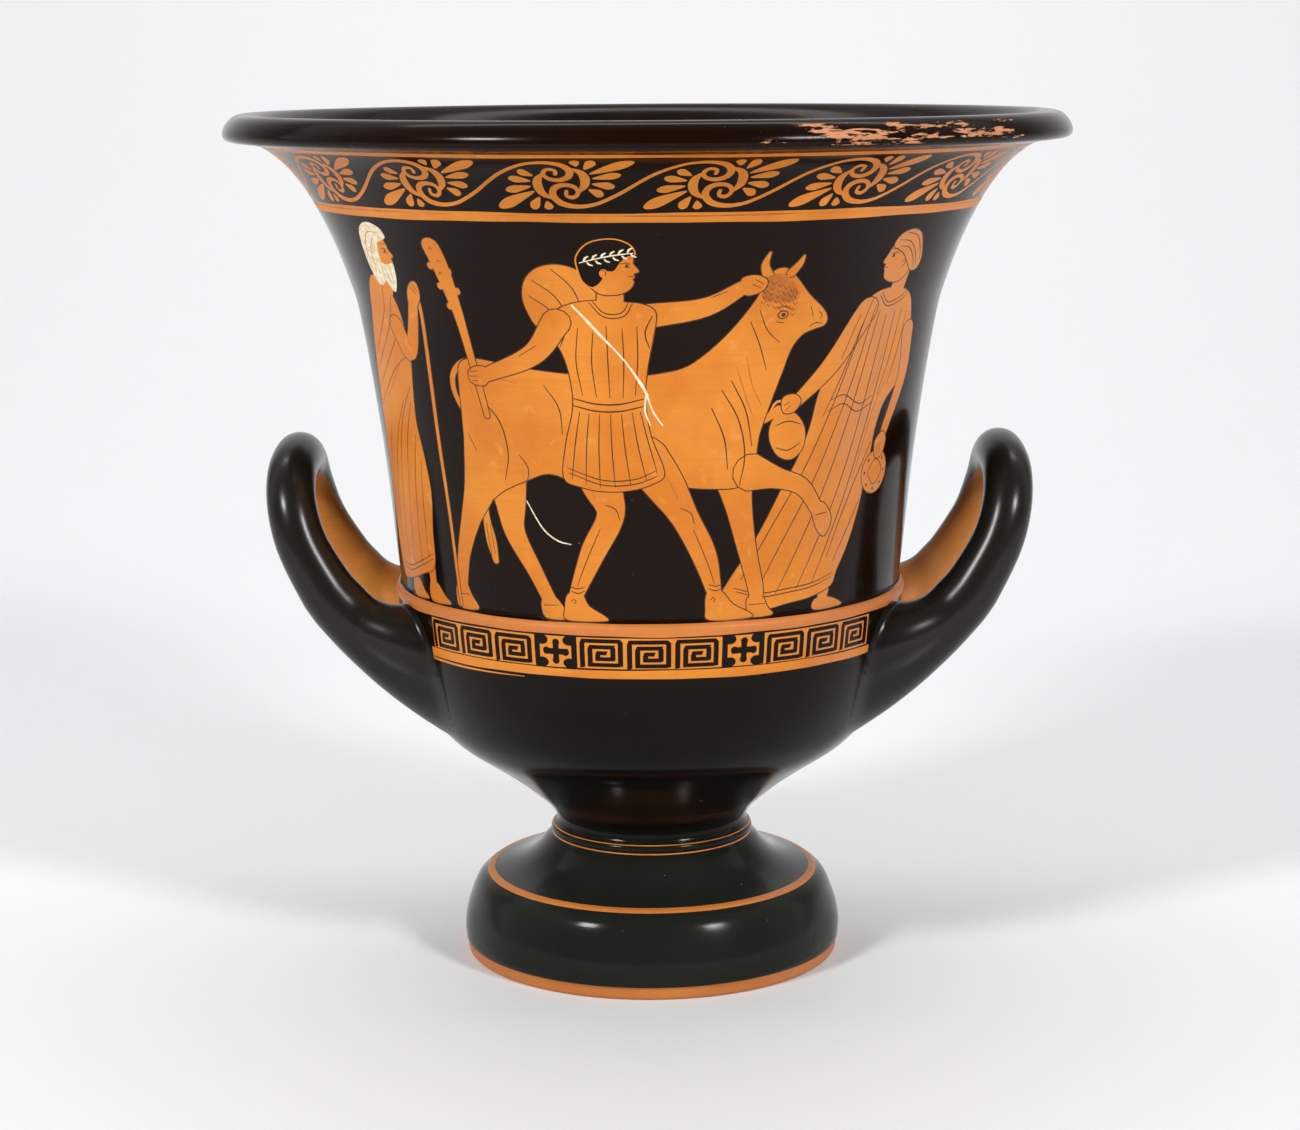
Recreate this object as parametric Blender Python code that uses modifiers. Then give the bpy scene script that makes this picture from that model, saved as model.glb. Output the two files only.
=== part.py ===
"""A Greek calyx krater in fired clay: a deep flaring mixing bowl on a stepped foot, with two upright loop handles.

Metres, +Z up. The origin is the middle of the foot's resting ring, and the handles stand at +X and -X.
The pot is thrown in parts that are joined with slip and fired as one, so it is one solid.
"""

import math

import bmesh
import bpy
import numpy as np

# Foot, from the table up
FOOT_RADIUS = 0.0928
FOOT_EDGE_HEIGHT = 0.0063
FOOT_DISC_HEIGHT = 0.0392
FOOT_RING_RADIUS = 0.0812
FOOT_RING_STEP = 0.0012
FOOT_SLOPE_HEIGHT = 0.0180
FOOT_REST_WIDTH = 0.0125
FOOT_WALL = 0.0125

# Collar and neck between the foot and the bowl
COLLAR_RADIUS = 0.0495
COLLAR_HEIGHT = 0.0044
NECK_RADIUS = 0.0464

# Bowl, ledge, wall and lip
BOWL_RADIUS = 0.1228
BOWL_HEIGHT = 0.1177
LEDGE_HEIGHT = 0.0058
LEDGE_REACH = 0.0011
WALL_BASE_RADIUS = 0.1208
WALL_TOP_RADIUS = 0.1810
WALL_HEIGHT = 0.2081
LIP_RADIUS = 0.2003
LIP_HEIGHT = 0.0158
BODY_THICKNESS = 0.0070
FLOOR_THICKNESS = 0.0150
FLOOR_RISE = 0.0120

# Loop handles, measured on the centre line of the clay
HANDLE_ROOT_OFFSET = 0.0445
HANDLE_REACH = 0.1700
HANDLE_TOP_HEIGHT = 0.2455
HANDLE_ROOT_HEIGHT = 0.1480
HANDLE_ROOT_HALF_WIDTH = 0.0240
HANDLE_ROOT_HALF_DROP = 0.0330
HANDLE_THICKNESS = 0.0230

# How finely the curves are divided
TURN_STEPS = 48
HANDLE_SIDES = 12
HANDLE_ARCH_STEPS = 17
HANDLE_FILLET_STEPS = 7

GAP_BELOW_SKIN = 0.0006

# Heights that follow from the sizes above
RING_Z = FOOT_DISC_HEIGHT
SLOPE_Z = RING_Z + FOOT_RING_STEP
COLLAR_Z = SLOPE_Z + FOOT_SLOPE_HEIGHT
NECK_Z = COLLAR_Z + COLLAR_HEIGHT
LEDGE_Z = NECK_Z + BOWL_HEIGHT
WALL_Z = LEDGE_Z + LEDGE_HEIGHT
LIP_Z = WALL_Z + WALL_HEIGHT
TOP_Z = LIP_Z + LIP_HEIGHT


def smooth_curve(points, steps):
    """A smooth curve through the points, as a Catmull-Rom spline with the same number of steps in each span."""
    p = np.array(points, float)
    p = np.vstack([2 * p[0] - p[1], p, 2 * p[-1] - p[-2]])
    found = []
    for a, b, c, d in zip(p[:-3], p[1:-2], p[2:-1], p[3:]):
        for t in np.arange(steps) / steps:
            found.append(
                0.5 * (2 * b + (c - a) * t + (2 * a - 5 * b + 4 * c - d) * t**2 + (3 * b - a - 3 * c + d) * t**3)
            )
    found.append(p[-2])
    return np.array(found)


def between(start, end, shares, steps):
    """A smooth curve from start to end whose points are given as shares of the way across and up."""
    start, end = np.array(start), np.array(end)
    return smooth_curve([start + (end - start) * np.array(share) for share in shares], steps)


def foot_outline():
    """The foot's outer side from the collar down to the table."""
    slope = between(
        (COLLAR_RADIUS, COLLAR_Z),
        (FOOT_RING_RADIUS - 0.0016, SLOPE_Z),
        [(0, 0), (0.037, 0.044), (0.116, 0.20), (0.249, 0.45), (0.432, 0.689), (0.681, 0.867), (1, 1)],
        1,
    )
    ring_edge = (FOOT_RING_RADIUS, RING_Z)
    bulge = between(
        ring_edge,
        (FOOT_RADIUS, FOOT_EDGE_HEIGHT),
        [(0, 0), (0.24, 0.05), (0.45, 0.134), (0.64, 0.28), (0.82, 0.46), (0.948, 0.644), (1, 0.827), (0.965, 1)],
        1,
    )
    edge_radius = FOOT_RADIUS - 0.0014
    edge = [
        (edge_radius - 0.0006, FOOT_EDGE_HEIGHT * 0.9),
        (edge_radius, FOOT_EDGE_HEIGHT * 0.75),
        (edge_radius, FOOT_EDGE_HEIGHT * 0.15),
        (edge_radius - 0.0008, 0.0),
    ]
    return [*slope, *bulge, *edge]


def foot_underside():
    """The hollow under the foot, from the resting ring in to the axis."""
    rest_inner = FOOT_RADIUS - 0.0022 - FOOT_REST_WIDTH
    dome_z = NECK_Z + FLOOR_RISE - FLOOR_THICKNESS
    inner_disc = (FOOT_RING_RADIUS - FOOT_WALL, RING_Z - FOOT_WALL)
    return [
        (rest_inner, 0.0),
        (rest_inner - 0.0015, 0.0015),
        *between((rest_inner - 0.002, 0.004), inner_disc, [(0, 0), (0.10, 0.40), (0.38, 0.75), (1, 1)], 1)[:-1],
        *between(inner_disc, (0.0, dome_z), [(0.28, 0.32), (0.5, 0.60), (0.72, 0.90), (1, 1)], 1),
    ]


def collar_outline():
    """The moulded ring between bowl and foot, from the neck down."""
    groove = 0.0007
    return [
        (NECK_RADIUS + 0.0012, NECK_Z + 0.0003),
        (COLLAR_RADIUS - groove, NECK_Z - 0.0002),
        (COLLAR_RADIUS, NECK_Z - 0.0010),
        (COLLAR_RADIUS + 0.0002, NECK_Z - COLLAR_HEIGHT * 0.5),
        (COLLAR_RADIUS - 0.0001, COLLAR_Z + 0.0008),
        (COLLAR_RADIUS - groove, COLLAR_Z + 0.0003),
    ]


BOWL_SHARES = [
    (0.000, 0.018),
    (0.010, 0.048),
    (0.054, 0.095),
    (0.139, 0.150),
    (0.255, 0.214),
    (0.408, 0.282),
    (0.576, 0.350),
    (0.679, 0.401),
    (0.784, 0.477),
    (0.880, 0.609),
    (0.941, 0.737),
    (0.980, 0.868),
    (1.000, 1.000),
]

WALL_SHARES = [
    (0.000, 0.000),
    (0.032, 0.084),
    (0.101, 0.275),
    (0.189, 0.462),
    (0.286, 0.626),
    (0.352, 0.694),
    (0.473, 0.788),
    (0.601, 0.865),
    (0.718, 0.920),
    (0.847, 0.965),
    (1.000, 1.000),
]


def bowl_side(steps):
    """The outer side of the lower bowl, from the ledge down to the neck."""
    return between((NECK_RADIUS, NECK_Z), (BOWL_RADIUS, LEDGE_Z), BOWL_SHARES, steps)[::-1]


def wall_side(steps):
    """The outer side of the flaring wall, from the lip down to the ledge."""
    return between((WALL_BASE_RADIUS, WALL_Z), (WALL_TOP_RADIUS, LIP_Z), WALL_SHARES, steps)[::-1]


def ledge_outline():
    """The small rounded step where the wall stands on the bowl, from the wall down."""
    reach = BOWL_RADIUS + LEDGE_REACH
    return [
        (reach - 0.0012, LEDGE_Z + LEDGE_HEIGHT * 0.86),
        (reach, LEDGE_Z + LEDGE_HEIGHT * 0.52),
        (reach - 0.0001, LEDGE_Z + LEDGE_HEIGHT * 0.22),
    ]


def lip_outline():
    """The heavy rounded lip, from the mouth's inner edge over the top and under to the wall."""
    mouth_radius = WALL_TOP_RADIUS - BODY_THICKNESS * 0.55
    return between(
        (mouth_radius, LIP_Z),
        (LIP_RADIUS, TOP_Z),
        [
            (0.05, 0.40),
            (0.24, 0.74),
            (0.44, 0.95),
            (0.61, 1.00),
            (0.78, 0.92),
            (0.91, 0.73),
            (0.98, 0.54),
            (1.00, 0.40),
            (0.955, 0.27),
            (0.86, 0.21),
            (0.62, 0.17),
            (0.38, 0.09),
        ],
        1,
    )


def body_inside():
    """The inner side, from the middle of the floor up to the mouth: the outer side moved in by the wall's thickness."""
    skin = np.vstack([bowl_side(1)[::-1][3:-1], wall_side(1)[::-1]])
    along = np.gradient(skin, axis=0)
    along /= np.linalg.norm(along, axis=1)[:, None]
    inward = np.column_stack([-along[:, 1], along[:, 0]])
    inner = skin + inward * BODY_THICKNESS
    floor_z = NECK_Z + FLOOR_RISE
    inner = inner[inner[:, 1] > floor_z + 0.004]
    first = inner[0]
    floor = [
        (0.0, floor_z),
        (first[0] * 0.35, floor_z + (first[1] - floor_z) * 0.06),
        (first[0] * 0.70, floor_z + (first[1] - floor_z) * 0.40),
    ]
    return [*floor, *inner]


def whole_outline():
    """The turned outline: up the inside, over the lip, down the outside and in under the foot."""
    return [
        *body_inside(),
        *lip_outline(),
        *wall_side(1),
        *ledge_outline(),
        *bowl_side(1),
        *collar_outline(),
        *foot_outline(),
        *foot_underside(),
    ]


def make_body(collection):
    """Turns the outline round the axis."""
    outline = whole_outline()
    mesh = bpy.data.meshes.new("krater")
    mesh.from_pydata([(r, 0.0, z) for r, z in outline], [(i, i + 1) for i in range(len(outline) - 1)], [])
    body = bpy.data.objects.new("krater", mesh)
    collection.objects.link(body)
    turn = body.modifiers.new("turned", "SCREW")
    turn.axis = "Z"
    turn.angle = math.tau
    turn.steps = turn.render_steps = TURN_STEPS
    turn.use_merge_vertices = True
    turn.merge_threshold = 0.00005
    turn.use_smooth_shade = True
    return body


def bowl_radius_at(height):
    """The bowl's outer radius at a height."""
    side = bowl_side(4)[::-1]
    return np.interp(height, side[:, 1], side[:, 0])


def arch_centre_line():
    """The handle's centre line from one root over the top to the other, at +X."""
    rise = HANDLE_TOP_HEIGHT - HANDLE_ROOT_HEIGHT
    root_x = math.sqrt(bowl_radius_at(HANDLE_ROOT_HEIGHT) ** 2 - HANDLE_ROOT_OFFSET**2)
    reach = HANDLE_REACH - root_x
    half = [
        (root_x + reach * out, HANDLE_ROOT_OFFSET * across, HANDLE_ROOT_HEIGHT + rise * up)
        for out, across, up in [
            (0.625, 1.00, 0.335),
            (0.727, 0.99, 0.42),
            (0.905, 0.94, 0.625),
            (0.988, 0.83, 0.805),
            (1.010, 0.55, 0.945),
            (1.000, 0.00, 1.00),
        ]
    ]
    other = [(x, -y, z) for x, y, z in half[-2::-1]]
    line = smooth_curve([*half, *other], 8)
    length = np.insert(np.cumsum(np.linalg.norm(np.diff(line, axis=0), axis=1)), 0, 0)
    even = np.linspace(0, length[-1], HANDLE_ARCH_STEPS + 1)
    return np.column_stack([np.interp(even, length, line[:, k]) for k in range(3)])


def unit(vectors):
    return vectors / np.linalg.norm(vectors, axis=-1, keepdims=True)


def arch_rings():
    """Rings of points along the arch. A ring's first point faces away from the middle of the loop."""
    centre = arch_centre_line()
    along = unit(np.gradient(centre, axis=0))
    middle = np.array([centre[:, 0].min(), 0.0, (HANDLE_ROOT_HEIGHT + HANDLE_TOP_HEIGHT) / 2])
    away = centre - middle
    away[:, 0] = 0
    away = unit(away - along * (away * along).sum(1)[:, None])
    side = np.cross(along, away)
    turn = np.arange(HANDLE_SIDES) / HANDLE_SIDES * math.tau
    swell = 1 + 0.22 * np.abs(np.linspace(-1, 1, len(centre))) ** 3
    radius = (HANDLE_THICKNESS / 2 * swell)[:, None, None]
    return (
        centre[:, None]
        + radius * (np.cos(turn)[None, :, None] * away[:, None] + np.sin(turn)[None, :, None] * side[:, None])
    ), along


def root_rings(first_ring, along, side):
    """Rings from inside the body's wall out to the arch. Each leaves near the skin and meets the arch in line.

    On its upper side the root leaves level, so that the inner edge of the handle bows up from the ledge.
    """
    turn = np.arange(HANDLE_SIDES) / HANDLE_SIDES * math.tau
    away_angle = np.cos(turn)
    up_angle = np.sin(turn)
    angle_middle = math.asin(HANDLE_ROOT_OFFSET / bowl_radius_at(HANDLE_ROOT_HEIGHT))

    def on_skin(share, sunk):
        height = HANDLE_ROOT_HEIGHT + HANDLE_ROOT_HALF_DROP * share * up_angle
        radius = bowl_radius_at(height)
        angle = side * (angle_middle + HANDLE_ROOT_HALF_WIDTH / radius * share * away_angle)
        return np.column_stack([(radius - sunk) * np.cos(angle), (radius - sunk) * np.sin(angle), height])

    start = on_skin(1.0, GAP_BELOW_SKIN)
    toward = unit(on_skin(0.9, GAP_BELOW_SKIN) - start)
    span = np.linalg.norm(first_ring - start, axis=1)[:, None]
    level = unit(start * (1, 1, 0))
    share_level = (0.38 + 0.62 * np.clip(1.4 * up_angle, 0, 1))[:, None]
    leave = start + unit(toward * (1 - share_level) + level * share_level) * span * 0.42
    arrive = first_ring - along * span * 0.38
    depth = BODY_THICKNESS * 0.5
    rings = [on_skin(0.5, depth), on_skin(1.0, depth), start]
    for t in np.arange(1, HANDLE_FILLET_STEPS) / HANDLE_FILLET_STEPS:
        rings.append(
            start * (1 - t) ** 3 + leave * 3 * t * (1 - t) ** 2 + arrive * 3 * t**2 * (1 - t) + first_ring * t**3
        )
    return on_skin(0.0, depth)[0], rings


def make_handle(collection, name, facing):
    """One loop handle as a closed skin over its rings. facing is 1 at +X and -1 at -X."""
    arch, along = arch_rings()
    first_cap, first_root = root_rings(arch[0], along[0], 1)
    last_cap, last_root = root_rings(arch[-1], -along[-1], -1)
    rings = [*first_root, *arch, *last_root[::-1]]
    mesh = bpy.data.meshes.new(name)
    build = bmesh.new()
    turned = np.array([facing, facing, 1.0])
    rows = [[build.verts.new(point * turned) for point in ring] for ring in rings]
    for here, after in zip(rows, rows[1:]):
        for k in range(HANDLE_SIDES):
            n = (k + 1) % HANDLE_SIDES
            build.faces.new((here[k], here[n], after[n], after[k]))
    for cap, row in ((first_cap, rows[0]), (last_cap, rows[-1])):
        tip = build.verts.new(cap * turned)
        for k in range(HANDLE_SIDES):
            build.faces.new((tip, row[k], row[(k + 1) % HANDLE_SIDES]))
    bmesh.ops.recalc_face_normals(build, faces=build.faces)
    build.to_mesh(mesh)
    build.free()
    mesh.shade_smooth()
    handle = bpy.data.objects.new(name, mesh)
    handle.hide_render = True
    handle.display_type = "WIRE"
    collection.objects.link(handle)
    return handle


def black_gloss():
    """The fired black slip that covers most of the pot."""
    material = bpy.data.materials.new("black_gloss_slip")
    material.use_nodes = True
    shader = material.node_tree.nodes["Principled BSDF"]
    shader.inputs["Base Color"].default_value = (0.018, 0.015, 0.013, 1.0)
    shader.inputs["Roughness"].default_value = 0.25
    shader.inputs["Metallic"].default_value = 0.0
    return material


def new_collection(name):
    collection = bpy.data.collections.new(name)
    bpy.context.scene.collection.children.link(collection)
    return collection


def main():
    for old in list(bpy.data.objects):
        bpy.data.objects.remove(old)
    pot = new_collection("krater")
    joined = new_collection("krater_joined_clay")
    body = make_body(pot)
    body.data.materials.append(black_gloss())
    for name, facing in (("handle_right", 1), ("handle_left", -1)):
        join = body.modifiers.new(name, "BOOLEAN")
        join.operation = "UNION"
        join.solver = "EXACT"
        join.object = make_handle(joined, name, facing)


main()
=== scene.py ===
# %% [markdown]
# # A Greek krater, painted in red figure
#
# A krater is the bowl in which wine was mixed with water. The potter threw the bowl, the foot and the two
# handles from one clay, joined them and fired them as one. The painter brushed fine clay slip round each
# figure. The slip fires to a black gloss, and the bare clay of the figures stays orange. Such a painting is
# colour and not relief, so the plan here is one smooth turned skin, whose faces are cut along the outline
# of every painted shape. Each face then takes the slip or the clay, and the edges stay sharp at any
# distance.

# %% Load the frame
import math

import bmesh
import bpy
import numpy as np
from mathutils import Matrix, Vector
from mathutils.geometry import delaunay_2d_cdt


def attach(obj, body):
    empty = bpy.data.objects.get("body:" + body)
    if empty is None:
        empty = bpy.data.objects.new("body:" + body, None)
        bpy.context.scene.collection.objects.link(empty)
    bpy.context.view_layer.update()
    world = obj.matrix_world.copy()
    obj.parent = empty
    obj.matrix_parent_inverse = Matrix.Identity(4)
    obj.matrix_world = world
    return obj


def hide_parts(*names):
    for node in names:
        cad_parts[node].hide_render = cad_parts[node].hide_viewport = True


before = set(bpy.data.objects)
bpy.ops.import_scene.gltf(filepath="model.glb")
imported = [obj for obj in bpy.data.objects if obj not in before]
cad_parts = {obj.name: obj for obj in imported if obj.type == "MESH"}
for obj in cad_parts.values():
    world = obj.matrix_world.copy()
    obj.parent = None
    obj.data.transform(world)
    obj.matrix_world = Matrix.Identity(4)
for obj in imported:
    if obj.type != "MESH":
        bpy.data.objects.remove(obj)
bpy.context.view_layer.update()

# %% [markdown]
# ## The outline that is turned
#
# A thrown pot is a surface of revolution: one outline, turned round an axis. It could be made with a Screw
# modifier, but here every point also needs its exact normal and its place on the painting, so the outline
# is kept as numbers: radius and height in millimetres, smoothed with a Catmull-Rom spline, which passes
# through each of its points.

# %% Curves
MM = 0.001


def smooth(points, steps=6, closed=False):
    """Catmull-Rom: between b and c the curve leaves along c - a and arrives along d - b, halved."""
    p = np.asarray(points, float)
    p = np.vstack([p[-1:], p, p[:2]]) if closed else np.vstack([2 * p[0] - p[1], p, 2 * p[-1] - p[-2]])
    a, b, c, d = p[:-3, None], p[1:-2, None], p[2:-1, None], p[3:, None]
    t = (np.arange(steps) / steps)[None, :, None]
    curve = 0.5 * (
        2 * b + (c - a) * t + (2 * a - 5 * b + 4 * c - d) * t**2 + (3 * b - a - 3 * c + d) * t**3
    )
    curve = curve.reshape(-1, p.shape[1])
    return curve if closed else np.vstack([curve, p[-2]])


def lengths(curve):
    """The distance along a curve to each of its points."""
    return np.insert(np.cumsum(np.linalg.norm(np.diff(curve, axis=0), axis=1)), 0, 0.0)


def evenly(curve, step):
    """The curve again, with its points at most a step apart."""
    along = lengths(curve)
    wanted = np.linspace(0, along[-1], max(2, int(math.ceil(along[-1] / step)) + 1))
    return np.column_stack([np.interp(wanted, along, curve[:, k]) for k in range(curve.shape[1])])


LIP = [
    (176.7, 399.9), (182.7, 406.1), (187.3, 409.3), (191.3, 410.1), (195.2, 408.9), (198.2, 405.9),
    (199.8, 402.9), (200.2, 400.7), (199.3, 398.7), (197.1, 397.7), (191.5, 397.1), (186.4, 396.2),
]
WALL = [
    (186.4, 396.2), (181.0, 394.3), (171.8, 387.1), (164.0, 377.8), (157.0, 366.4), (149.3, 350.5),
    (142.0, 331.1), (138.0, 316.7), (132.2, 282.6), (126.9, 243.8), (122.8, 204.0), (120.9, 187.4),
    (121.4, 186.4),
]
LEDGE = [(121.4, 186.4), (123.0, 185.7), (123.9, 183.8), (123.7, 181.8), (122.9, 180.6)]
BOWL_TOP = [(122.9, 180.6), (122.4, 174.0), (121.3, 165.0), (120.2, 158.0)]
BOWL = [
    (120.2, 158.0), (118.3, 149.5), (113.6, 134.5), (106.3, 119.0), (98.7, 110.0), (91.2, 104.0),
    (79.0, 96.0), (67.6, 88.0), (58.4, 80.5), (51.0, 74.0), (47.2, 68.5), (46.4, 65.0), (47.2, 63.3),
]
print("lip to ledge:", round(LIP[4][1] - LEDGE[0][1], 1), "mm; mouth", 2 * LIP[8][0], "mm across")

# %% [markdown]
# ## Where the painting lies
#
# The painted wall is unrolled like a label. Across, a point's place is its angle times 125 mm, the wall's
# mean radius, with zero at the front. Up, it is the distance along the outline from 158 mm above the table,
# so that nothing is squashed where the wall flares. Shapes are designed in these flat millimetres and then
# wrapped.

# %% The label
LABEL_RADIUS = 125.0
SEAM_ANGLE = math.radians(90)
LABEL_RIGHT = SEAM_ANGLE * LABEL_RADIUS
LABEL_WIDTH = math.tau * LABEL_RADIUS
LABEL_LEFT = LABEL_RIGHT - LABEL_WIDTH
COLUMNS = 240

painted_outline = evenly(
    np.vstack([smooth(BOWL_TOP[::-1], 8)[:-1], smooth(LEDGE[::-1], 8)[:-1], smooth(WALL[::-1], 12)]), 0.5
)
UP = lengths(painted_outline)
LABEL_TOP = UP[-1]


def up_at(height):
    """How far up the label a height above the table is."""
    return np.interp(height, painted_outline[:, 1], UP)


def outward(outline):
    """The outline's normal: its direction turned a quarter turn, so that it points away from the clay."""
    along = np.gradient(outline, axis=0)
    along /= np.linalg.norm(along, axis=1)[:, None]
    return np.column_stack([along[:, 1], -along[:, 0]])


PAINTED_NORMAL = outward(painted_outline)


def wrap(across, radius, height):
    """Flat to round: x = radius sin(angle), y = -radius cos(angle), where the angle is across / 125 mm.

    An outline's normal is turned to its place round the pot in the same way.
    """
    angle = across / LABEL_RADIUS
    return np.column_stack([radius * np.sin(angle), -radius * np.cos(angle), height])


print("label:", round(LABEL_RIGHT - LABEL_LEFT), "by", round(LABEL_TOP), "mm")

# %% [markdown]
# ## Brushes
#
# A few kinds of shape are enough. A blob is a closed smooth outline, and a ring is an ellipse. A limb is a
# stroke whose width changes along it, made of four-sided pieces with round ends, so it never crosses
# itself. A line is a thin limb. The shapes are kept in the order in which they are painted, and a later one
# covers what lies under it.

# %% Brushes
CLAY, SLIP, LINE, WASH, WHITE, HANDLE = range(6)
CONTOUR = 0.5
painting = []


def grown(outline, by):
    """A closed outline moved outward: each point goes along the outline's normal there."""
    if not by:
        return outline
    along = np.roll(outline, -1, axis=0) - np.roll(outline, 1, axis=0)
    along /= np.linalg.norm(along, axis=1)[:, None] + 1e-9
    x, y = outline.T
    turn = np.sign(np.sum(x * np.roll(y, -1) - np.roll(x, -1) * y))
    return outline + by * turn * np.column_stack([along[:, 1], -along[:, 0]])


def blob(*points):
    """A closed smooth shape."""
    outline = smooth(points, 4, closed=True)
    return lambda by: [grown(outline, by)]


def ring_of(x, y, radius_x, radius_y=None, sides=20):
    """An ellipse."""
    turn = np.arange(sides) / sides * math.tau
    edge = np.column_stack([np.cos(turn) * radius_x, np.sin(turn) * (radius_y or radius_x)]) + (x, y)
    return lambda by: [grown(edge, by)]


def limb(points, widths, step=1.6, round_ends=True):
    """A stroke of changing width: left and right edges stand half a width from its middle line."""
    middle = np.column_stack([np.asarray(points, float), widths])
    middle = evenly(smooth(middle, 8) if len(points) > 2 else middle, step)
    along = np.gradient(middle[:, :2], axis=0)
    along /= np.linalg.norm(along, axis=1)[:, None] + 1e-9
    side = np.column_stack([-along[:, 1], along[:, 0]])

    def pieces(by):
        half = (middle[:, 2] / 2 + by)[:, None]
        left, right = middle[:, :2] + side * half, middle[:, :2] - side * half
        found = list(np.stack([left[:-1], right[:-1], right[1:], left[1:]], axis=1))
        if round_ends:
            for end, away in ((0, -along[0]), (-1, along[-1])):
                turn = np.linspace(-math.pi / 2, math.pi / 2, 7)[:, None]
                cap = middle[end, :2] + half[end] * (np.cos(turn) * away + np.sin(turn) * side[end])
                found.append(cap)
        return found

    return pieces


def paint(finish, *shapes, by=0.0):
    """Lays the shapes down in one finish."""
    painting.extend((outline, finish) for shape in shapes for outline in shape(by))


def body(*shapes, finish=CLAY):
    """A part of a figure: one dark contour round all its shapes together, then the shapes themselves."""
    paint(LINE, *shapes, by=CONTOUR)
    paint(finish, *shapes)


def line(*points, width=0.55, finish=LINE):
    """A relief line."""
    paint(
        finish,
        limb(points, [width * 0.7, *[width] * (len(points) - 2), width * 0.6], step=2.0, round_ends=False),
    )


# %% [markdown]
# ## The bands
#
# Plain stripes of bare clay frame the picture. The painter drew them freehand on the wheel, so their edges
# waver a little. Each edge gets three slow waves whose lengths divide the circumference, so that they meet.

# %% Stripes
STRIPES = {
    "under_lip": (394.4, 395.9),
    "over_figures": (366.4, 370.6),
    "ground": (180.5, 186.1),
}
MEANDER_LOW, MEANDER_HIGH = 165.3, 179.7
BASE_LOW, BASE_HIGH = 160.6, 164.7
PANEL_HALF = 122.0
PANEL_CENTRES = (0.0, -math.pi * LABEL_RADIUS)


def waver(across, size, phase):
    """Three whole waves round the pot, added up: 5, 11 and 23 of them."""
    angle = across / LABEL_RADIUS
    return size * (
        0.5 * np.sin(5 * angle + phase) + 0.3 * np.sin(
            11 * angle + 2.3 * phase
        ) + 0.2 * np.sin(23 * angle + phase)
    )


def stripe(low, high, left, right, size=0.45, finish=CLAY, phase=0.0):
    """A band between two heights, as four-sided pieces."""
    across = np.linspace(left, right, max(2, int((right - left) / 3.2)))
    bottom = np.column_stack([across, up_at(low) + waver(across, size, phase + 1)])
    top = np.column_stack([across, up_at(high) + waver(across, size, phase + 4)])
    painting.append((np.vstack([bottom, top[::-1]]), finish))


for number, (low, high) in enumerate(STRIPES.values()):
    stripe(low, high, LABEL_LEFT - 9, LABEL_RIGHT + 9, phase=number * 1.7)
for centre in PANEL_CENTRES:
    stripe(MEANDER_LOW, MEANDER_HIGH, centre - PANEL_HALF, centre + PANEL_HALF, 0.15)
    stripe(BASE_LOW, BASE_HIGH, centre - PANEL_HALF - 3, centre + PANEL_HALF + 3, 0.3, phase=2)
    paint(
        CLAY,
        limb([(centre - PANEL_HALF - 3, 1.4), (centre - 96, 1.0), (centre - 62, 1.2)], [1.3, 1.0, 0.3]),
    )
stripe(369.15, 369.5, LABEL_LEFT - 9, LABEL_RIGHT + 9, 0.5, finish=WASH, phase=3)
print("stripes:", len(painting))

# %% [markdown]
# ## Meander and cross squares
#
# Under the figures runs the oldest of Greek patterns, a square spiral that a brush draws in one stroke,
# three spirals and then a square with a cross. It is drawn dark on a clay band.

# %% Meander
UNIT_PITCH = 22.1
SPIRAL = [
    (-9.6, -6.3), (-9.6, 5.6), (8.3, 5.6), (8.3, -5.6), (-5.9, -5.6), (-5.9, 2.8), (4.8, 2.8), (4.8, -2.8),
    (-2.3, -2.8), (-2.3, 0.0), (1.2, 0.0),
]
BRUSH = np.array([2.4, 1.9])


def straight_runs(points, width, place):
    """A path of straight runs, each a bar that is square at its ends. The brush is wider across than up."""
    reach = np.asarray(width) / 2
    for start, end in zip(points[:-1], points[1:]):
        low, high = np.minimum(start, end) - reach, np.maximum(start, end) + reach
        bar = np.array([low, (high[0], low[1]), high, (low[0], high[1])])
        edge = evenly(np.vstack([bar, bar[:1]]), 3.0)[:-1]
        painting.append((edge + place, SLIP))


meander_middle = (up_at(MEANDER_LOW) + up_at(MEANDER_HIGH)) / 2
for centre in PANEL_CENTRES:
    for square in range(11):
        place = np.array(
            [centre + (square - 5) * UNIT_PITCH, meander_middle + 0.2 * math.sin(square * 2.1)]
        )
        if square in (3, 7):
            tips = [(-5.0, 0.2), (4.4, -0.2), (-0.4, -4.2), (-0.2, 4.2)]
            for bar in (tips[:2], tips[2:], [(-9.6, -6.4), (-9.6, 6.4)], [(8.6, -6.2), (8.6, 6.2)]):
                straight_runs(bar, (2.7, 2.5), place)
            paint(SLIP, *[ring_of(*(place + tip), 1.75) for tip in tips])
            corners = [(x, y) for x in (-7.2, 6.2) for y in (-5.3, 5.3)]
            paint(SLIP, *[ring_of(*(place + corner), 3.1, 2.3) for corner in corners])
        else:
            straight_runs(SPIRAL, BRUSH, place)
    edge = centre + 5.5 * UNIT_PITCH
    straight_runs([(0, -6.6), (0, 6.4)], (1.6, 1.6), np.array([edge - 1.6, meander_middle]))
print("shapes with the meander:", len(painting))

# %% [markdown]
# ## The scroll of palmettes
#
# Below the lip runs a chain of slanting palmettes. One unit is a stem that curls into a spiral, and a fan
# of petals round it. The other half of the unit is the same thing turned half round, so each point (x, y)
# has a twin at (-x, -y), and sixteen units close the ring.

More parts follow.
